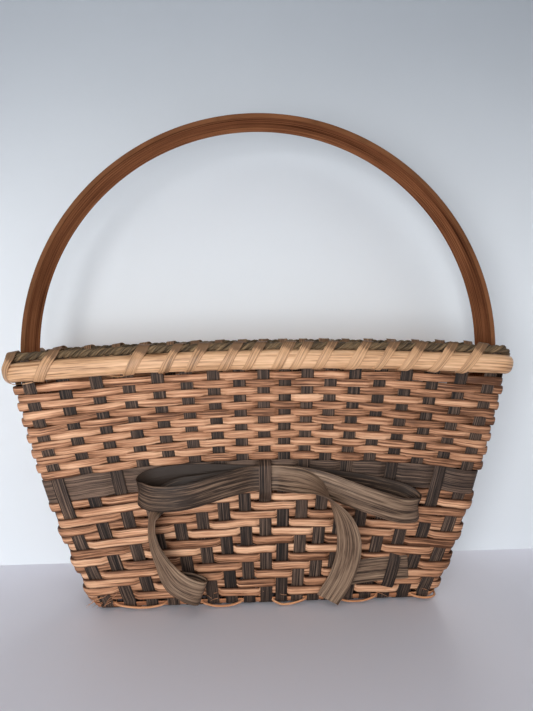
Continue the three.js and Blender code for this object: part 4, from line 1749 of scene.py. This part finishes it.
@dataclass
class Bow:
    """The bow of flat reed: two loops and a strip that makes both tails."""

    shop: Workshop
    width: float = 19.0
    thickness: float = 0.9
    eased: float = 0.3
    knot_ramp: float = 3.7
    # Painted shade: the left loop's lower tone darkens it.
    left: Loop = Loop(
        sign=-1, reach=95.0, droop=10.0, bulge=21.0, falls=(-0.2, -0.2, 0.1, 0.5, 0.85, 0.8, 0.25),
        tone=-0.3, lot=0.3, layer=3)
    right: Loop = Loop(
        sign=1, reach=117.0, droop=28.0, bulge=20.0, falls=(0.15, 0.4, 0.65, 0.85, 0.85, 0.5, 0.05),
        tone=0.0, lot=0.6, layer=1)
    loop_shares: tuple[float, ...] = (0.4, 0.75, 0.95, 1.0, 0.9, 0.65, 0.32)
    loop_bulges: tuple[float, ...] = (0.0, 0.06, 0.25, 0.55, 0.9, 1.0, 0.55)
    steps: int = 110
    tail_layer: int = 2
    tail_tone: float = 0.08
    tail_lot: float = 0.45
    tuck_stake: int = 15
    tuck_height: float = -77.0
    tuck_lift: float = 4.3
    tuck_tone: float = -0.16
    tuck_lot: float = 0.8
    tuck_steps: int = 30
    # Painted shade inside the loops and where they cover the tails: how dark, where it ends and how fast it
    # fades.
    inside_shade: float = 0.52
    inside_shade_end: float = 0.56
    inside_shade_fade: float = 0.14
    shade_foot: float = -22.0
    shade_rise: float = 8.0
    shade_side: float = 16.0
    shade_run: float = 12.0
    curl_length: float = 40.0
    curl_front: float = 14.0
    curl_fade: float = 8.0
    curl_shade: float = 0.3
    curl_axis: tuple[float, float, float] = (0.34, 0.94, 0.0)

    @property
    def level(self) -> float:
        """Height of the bow's middle."""
        wall = self.shop.wall
        return wall.band_start + wall.band_width - self.knot_ramp - wall.clearance - self.width / 2

    def _layer(self, number: int) -> float:
        """Distance out of a layer of the knot, counted from the wall."""
        wall = self.shop.wall
        return wall.wall_face + self.thickness / 2 + number * (self.thickness + wall.clearance)

    @property
    def stake_lift(self) -> float:
        """How far the stake that holds the bow stands off the wall."""
        return self._layer(self.left.layer) + self.thickness / 2 + self.shop.wall.stake_face

    def _loop_route(self, loop: Loop) -> Array:
        """A loop's way out along the wall and back in front of itself.

        Args:
            loop: The loop.

        Returns:
            Points, right, up and out from the bow's middle, with a turn of 0.
        """
        knot, wide = loop.sign * self.shop.wall.clearance / 2, loop.sign * self.shop.wall.stake_width
        back, front = self._layer(0), self._layer(loop.layer)
        way = np.stack([
            loop.sign * loop.reach * np.array(self.loop_shares),
            -loop.droop * np.array(loop.falls),
            back + loop.bulge * np.array(self.loop_bulges),
            np.zeros(len(self.loop_shares))], axis=-1)
        first = [(knot, 0, back, 0), (wide, 0, back, 0)]
        last = [(wide, 0, front, 0), (knot, 0, front, 0)]
        return np.concatenate([first, way, last])

    def _tail_route(self) -> Array:
        """The strip that makes both tails, from the curled left end to the right one.

        Returns:
            Points, right, up and out from the bow's middle, with the strip's turn in degrees.
        """
        wide, knot = self.shop.wall.stake_width, self._layer(self.tail_layer)
        return np.array([
            (-67, -82, 6.5, 0), (-58, -83.5, 7.5, 0), (-49, -85.5, 12.5, 0), (-50.5, -85.5, 18, 0),
            (-57.5, -83, 19.5, 0), (-69, -76, 18.5, -4), (-78.5, -62, 16, -38), (-84.5, -48.5, 14.5, -54),
            (-86.5, -35, 14.5, -66), (-85, -23.5, 14.5, -70), (-78, -12, 14.5, -36), (-67, -6.5, 13, -18),
            (-50, -4.5, 11, -6), (-28, -2, 8, 0),
            (-wide, 0, knot, 0), (-wide / 2, 0, knot, 0), (wide / 2, 0, knot, 0),
            (wide, 0, knot + self.shop.wall.clearance, 0),
            (16, 0, 9.5, -8), (27, 0, 17, -30), (38, -3, 24, -64), (47, -10, 28, -94), (56, -23, 27, -124),
            (62, -41, 20.5, -148), (63, -61, 14, -164), (58, -81, 9.5, -174), (48, -99, 7.5, -180)])

    def _tuck_route(self) -> Array:
        """The ribbon's other end, tucked behind a stake low on the right.

        Returns:
            Points and turns, as for the tails.
        """
        level = self.tuck_height
        return np.array([
            (54, level - 4, 4.2, 0), (74, level - 1.5, 3.5, 0),
            (92, level, 3.3, 0), (113, level + 1, 3.2, 0)])

    @staticmethod
    def _curve(route: Array, steps: int, per_gap: int = 24) -> Array:
        """A smooth curve through points, evenly divided.

        Args:
            route: The points, with a turn at each.
            steps: Steps along the whole curve.
            per_gap: Steps from one point to the next while it is measured.

        Returns:
            Points of the curve, with the turn between those given.
        """
        places = route[:, :3]
        padded = np.concatenate([2 * places[:1] - places[1:2], places, 2 * places[-1:] - places[-2:-1]])
        found = []
        for number in range(len(route) - 1):
            near = padded[number:number + 4]
            knots = np.concatenate([[0], np.cumsum(np.linalg.norm(np.diff(near, axis=0), axis=-1) ** 0.5)])
            time = np.linspace(knots[1], knots[2], per_gap, endpoint=False)[:, None]

            def between(low: Array, high: Array, first: int, second: int) -> Array:
                """Runs straight from one value to another between two knots."""
                passed, left = time - knots[first], knots[second] - time
                return (left * low + passed * high) / (knots[second] - knots[first])

            one, two, three = (between(near[i], near[i + 1], i, i + 1) for i in range(3))
            way = between(between(one, two, 0, 2), between(two, three, 1, 3), 1, 2)
            turn = np.linspace(route[number, 3], route[number + 1, 3], len(way), endpoint=False)
            found.append(np.column_stack([way, turn]))
        dense = np.concatenate([*found, route[-1:]])
        length = distances(dense[:, :3])
        even = np.linspace(0, length[-1], steps + 1)
        return np.stack([np.interp(even, length, dense[:, column]) for column in range(4)], axis=-1)

    def _place(self, route: Array) -> Array:
        """Puts points of the bow in front of the middle stake.

        Args:
            route: Points, right, up and out from the bow's middle.

        Returns:
            The points in metres.
        """
        wall = self.shop.wall
        station = np.full(len(route), wall.stakes_left)
        points = wall.point(station, self.level + route[:, 1], route[:, 2])
        points[:, 0] += route[:, 0] * MM
        return points

    def _loop(self, loop: Loop) -> Strip:
        """A loop that stands on its edge, with painted shade on its back strand inside.

        Args:
            loop: The loop.

        Returns:
            An open strip.
        """
        points = self._place(self._curve(self._loop_route(loop), self.steps))
        ahead = np.gradient(points, axis=0)
        outward = np.stack([ahead[:, 1], -ahead[:, 0], np.zeros(len(ahead))], axis=-1)
        # Painted shade on the loop's first, back strand inside.
        behind = ease((self.inside_shade_end - np.linspace(0, 1, len(points))) / self.inside_shade_fade)
        wear_and_shade = loop.tone - self.inside_shade * behind
        return Strip(points, unit(outward), lot=loop.lot, wear_and_shade=wear_and_shade)

    def _lying(self, route: Array, steps: int, lot: float, tone: float, curl: float = 0.0) -> Strip:
        """A strip that keeps its face to the front but for its turns, with painted shade where a loop covers
        it and on its curled end.

        Args:
            route: Its points and turns.
            steps: Steps along it.
            lot: Its number.
            tone: How pale it is.
            curl: Length of its first end that rolls back behind it.

        Returns:
            An open strip.
        """
        way = self._curve(route, steps)
        along = distances(way[:, :3])
        tangent = unit(np.gradient(way[:, :3], axis=0))
        flat = unit(np.stack([-tangent[:, 1], tangent[:, 0], np.zeros(len(way))], axis=-1))
        turn = np.radians(way[:, 3:4])
        facing = np.cross(tangent, flat) * np.cos(turn) - flat * np.sin(turn)
        rolled = ease((curl - along) / self.curl_fade)
        facing = unit(facing + (unit(np.cross(self.curl_axis, tangent)) - facing) * rolled[:, None])
        outward = np.stack([facing[:, 0], -facing[:, 2], facing[:, 1]], axis=-1)
        # Painted shade where a loop covers the strip, and on the part of its curl that rolls back behind.
        shaded = ease((way[:, 1] - self.shade_foot) / self.shade_rise)
        shaded = shaded * ease((-way[:, 0] - self.shade_side) / self.shade_run)
        hidden = ease((curl - self.curl_front - along) / self.curl_fade)
        wear_and_shade = tone - self.inside_shade * shaded - self.curl_shade * hidden
        return Strip(self._place(way), outward, lot=lot, wear_and_shade=wear_and_shade)

    def build(self) -> None:
        """Makes both loops and the tails."""
        profile = Profile.rounded(self.width, self.thickness, self.eased)
        self.shop.make("bow_loop_left", [self._loop(self.left)], profile, Finish.BOW)
        self.shop.make("bow_loop_right", [self._loop(self.right)], profile, Finish.BOW)
        tail_steps = 2 * self.steps
        tails = self._lying(self._tail_route(), tail_steps, self.tail_lot, self.tail_tone, self.curl_length)
        tucked = self._lying(self._tuck_route(), self.tuck_steps, self.tuck_lot, self.tuck_tone)
        self.shop.make("bow_tails", [tails, tucked], profile, Finish.BOW)


@dataclass
class Fibres:
    """Stray fibres that have split off the reed along the foot of the wall, closest at the left corner."""

    shop: Workshop
    count: int = 34
    corner_count: int = 12
    corner_range: tuple[float, float] = (-0.7, 0.6)
    diameter: float = 0.4
    sides: int = 5
    taper: float = 0.6
    heights: tuple[float, float] = (0.5, 7.0)
    lengths: tuple[float, float] = (4.0, 11.0)
    slants: tuple[float, float] = (-1.0, 1.0)
    curls: tuple[float, float] = (-0.5, 0.5)
    lifts: tuple[float, float] = (-0.25, 0.3)
    lean: float = 0.35
    reach: float = 2.4
    steps: int = 7

    def _fibre(self, station: float) -> Strip:
        """One fibre that leaves the wall's foot and curls.

        Args:
            station: Its place round the wall.

        Returns:
            An open strip that grows thinner.
        """
        wall, dice = self.shop.wall, self.shop.dice
        height = dice.uniform(*self.heights)
        outward, upward = wall.outward(station, height)
        length = dice.uniform(*self.lengths)
        slant, curl, lift = (dice.uniform(*ends) for ends in (self.slants, self.curls, self.lifts))
        way = np.linspace(0, 1, self.steps)[:, None]
        heading = unit(self.lean * outward + slant * np.cross(upward, outward) + lift * upward)
        route = length * MM * (way * heading + curl * way ** 2 * upward)
        points = wall.point(station, height, self.reach) + route
        points[:, 2] = np.maximum(points[:, 2], self.diameter * MM)
        facing = np.tile(outward, (self.steps, 1))
        return Strip(points, facing, 1 - self.taper * way[:, 0], lot=float(dice.random()))

    def build(self) -> None:
        """Makes the fibres."""
        wall, dice = self.shop.wall, self.shop.dice
        corner = dice.uniform(*(wall.turn + end for end in self.corner_range), self.corner_count)
        stations = np.concatenate([dice.uniform(0, wall.turn, self.count), corner])
        strips = [self._fibre(float(station)) for station in stations]
        strand = Profile.ring(self.diameter, self.sides)
        self.shop.make("stray_fibres", strips, strand, Finish.TWINE, extra=True)


@dataclass(frozen=True)
class Lamp:
    """A square soft light, with its place and size in metres and its power in watts."""

    name: str
    place: tuple[float, float, float]
    size: float
    power: float

    def build(self, aim: tuple[float, float, float]) -> None:
        """Adds the light.

        Args:
            aim: The point that it faces.
        """
        light = bpy.data.lights.new(self.name, "AREA")
        light.size = self.size
        light.energy = self.power
        backward = unit(np.array(self.place) - np.array(aim))
        right = unit(np.cross(UP, backward))
        axes = np.stack([right, np.cross(backward, right), backward], axis=1)
        link(self.name, light).matrix_world = Matrix.Translation(self.place) @ Matrix(axes.tolist()).to_4x4()


@dataclass
class Studio:
    """The pale floor and wall, the soft lights and the camera."""

    middle_y_mm: float = 0.0
    eye_mm: tuple[float, float, float] = (-14.9, -457.05, 224.9)
    pitch_deg: float = -3.2
    roll_deg: float = 0.83
    yaw_deg: float = -2.42
    focal_px: float = 551.6
    image_width_px: float = 533.0
    sensor_mm: float = 36.0
    near_m: float = 0.01
    wall_mm: float = 66.0
    stage_m: float = 4.0
    room_light: tuple[float, float, float, float] = (0.92, 0.96, 1.0, 1.0)
    room_strength: float = 0.1
    aim_m: tuple[float, float, float] = (0.0, 0.0, 0.18)
    lamps: tuple[Lamp, ...] = (
        Lamp("key", (-0.22, -0.8, 0.17), size=0.5, power=5.8),
        Lamp("fill", (0.55, -1.0, 0.45), size=0.6, power=1.1),
        Lamp("top", (-0.1, -0.7, 0.9), size=0.8, power=1.6),
        Lamp("back", (0.3, 1.1, 0.3), size=0.5, power=4.5),
    )

    def _plane(self, name: str, corners: Sequence[tuple[float, float, float]], finish: PlainFinish) -> None:
        """Adds a flat stage piece.

        Args:
            name: Its name.
            corners: Its four corners in metres.
            finish: Its finish.
        """
        mesh = bpy.data.meshes.new(name)
        mesh.from_pydata(corners, [], [(0, 1, 2, 3)])
        mesh.materials.append(finish.build())
        made = link(name, mesh)
        made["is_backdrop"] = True

    def _world(self) -> None:
        """Sets a soft light from all round, behind which the camera sees a pale room."""
        world = bpy.data.worlds.new("soft_light")
        world.use_nodes = True
        world.node_tree.nodes.clear()
        graph = Graph(world.node_tree)
        soft = {"Color": self.room_light, "Strength": self.room_strength}
        light = graph.node("ShaderNodeBackground", None, soft)
        view = graph.node("ShaderNodeBackground", None, {"Color": ROOM_COLOUR, "Strength": 1.0})
        graph.node("ShaderNodeOutputWorld", None, {"Surface": graph.blend(graph.seen(), light, view)})
        bpy.context.scene.world = world

    def _camera(self) -> None:
        """Puts the camera where the photographer stood."""
        camera = bpy.data.cameras.new("camera")
        camera.sensor_fit = "HORIZONTAL"
        camera.sensor_width = self.sensor_mm
        camera.lens = self.focal_px / self.image_width_px * self.sensor_mm
        camera.clip_start = self.near_m
        turn = Matrix.Rotation(math.radians(self.yaw_deg), 4, "Z")
        roll = Matrix.Rotation(math.radians(self.roll_deg), 4, "Y")
        pitch = Matrix.Rotation(math.radians(90 + self.pitch_deg), 4, "X")
        x, y, z = self.eye_mm
        eye = Matrix.Translation((x * MM, (y + self.middle_y_mm) * MM, z * MM))
        made = link("camera", camera)
        made.matrix_world = eye @ turn @ roll @ pitch
        bpy.context.scene.camera = made

    def build(self) -> None:
        """Makes the stage, the lights and the camera."""
        back, far = (self.wall_mm + self.middle_y_mm) * MM, self.stage_m
        floor = [(-far, -far, 0.0), (far, -far, 0.0), (far, far, 0.0), (-far, far, 0.0)]
        wall = [(-far, back, 0.0), (far, back, 0.0), (far, back, far), (-far, back, far)]
        self._plane("floor", floor, PlainFinish(
            "pale_floor", srgb(230, 229, 238), srgb(230, 229, 238), roughness=0.6))
        self._plane("backdrop", wall, PlainFinish(
            "pale_wall", srgb(238, 244, 249), srgb(174, 181, 189), one_sided=True))
        for lamp in self.lamps:
            lamp.build(self.aim_m)
        self._camera()
        self._world()
        bpy.context.scene.view_settings.view_transform = "Standard"


def corners() -> list[list[float]]:
    """The object's box as plain lists."""
    return [[round(float(value), 5) for value in corner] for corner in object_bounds()]


def main() -> None:
    """Builds the basket's looks and the studio."""
    logging.basicConfig(level=logging.INFO, format="%(name)s %(message)s")
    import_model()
    low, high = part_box("hoop_handle")
    shop = Workshop(Wall(handle_middle_y=(low.y + high.y) / 2 / MM))
    WovenRows(shop).build()
    Stakes(shop).build()
    Rim(shop).build()
    Hoop(shop).build()
    Bow(shop).build()
    Fibres(shop).build()
    Studio(middle_y_mm=shop.wall.handle_middle_y).build()


if __name__ == "__main__":
    main()
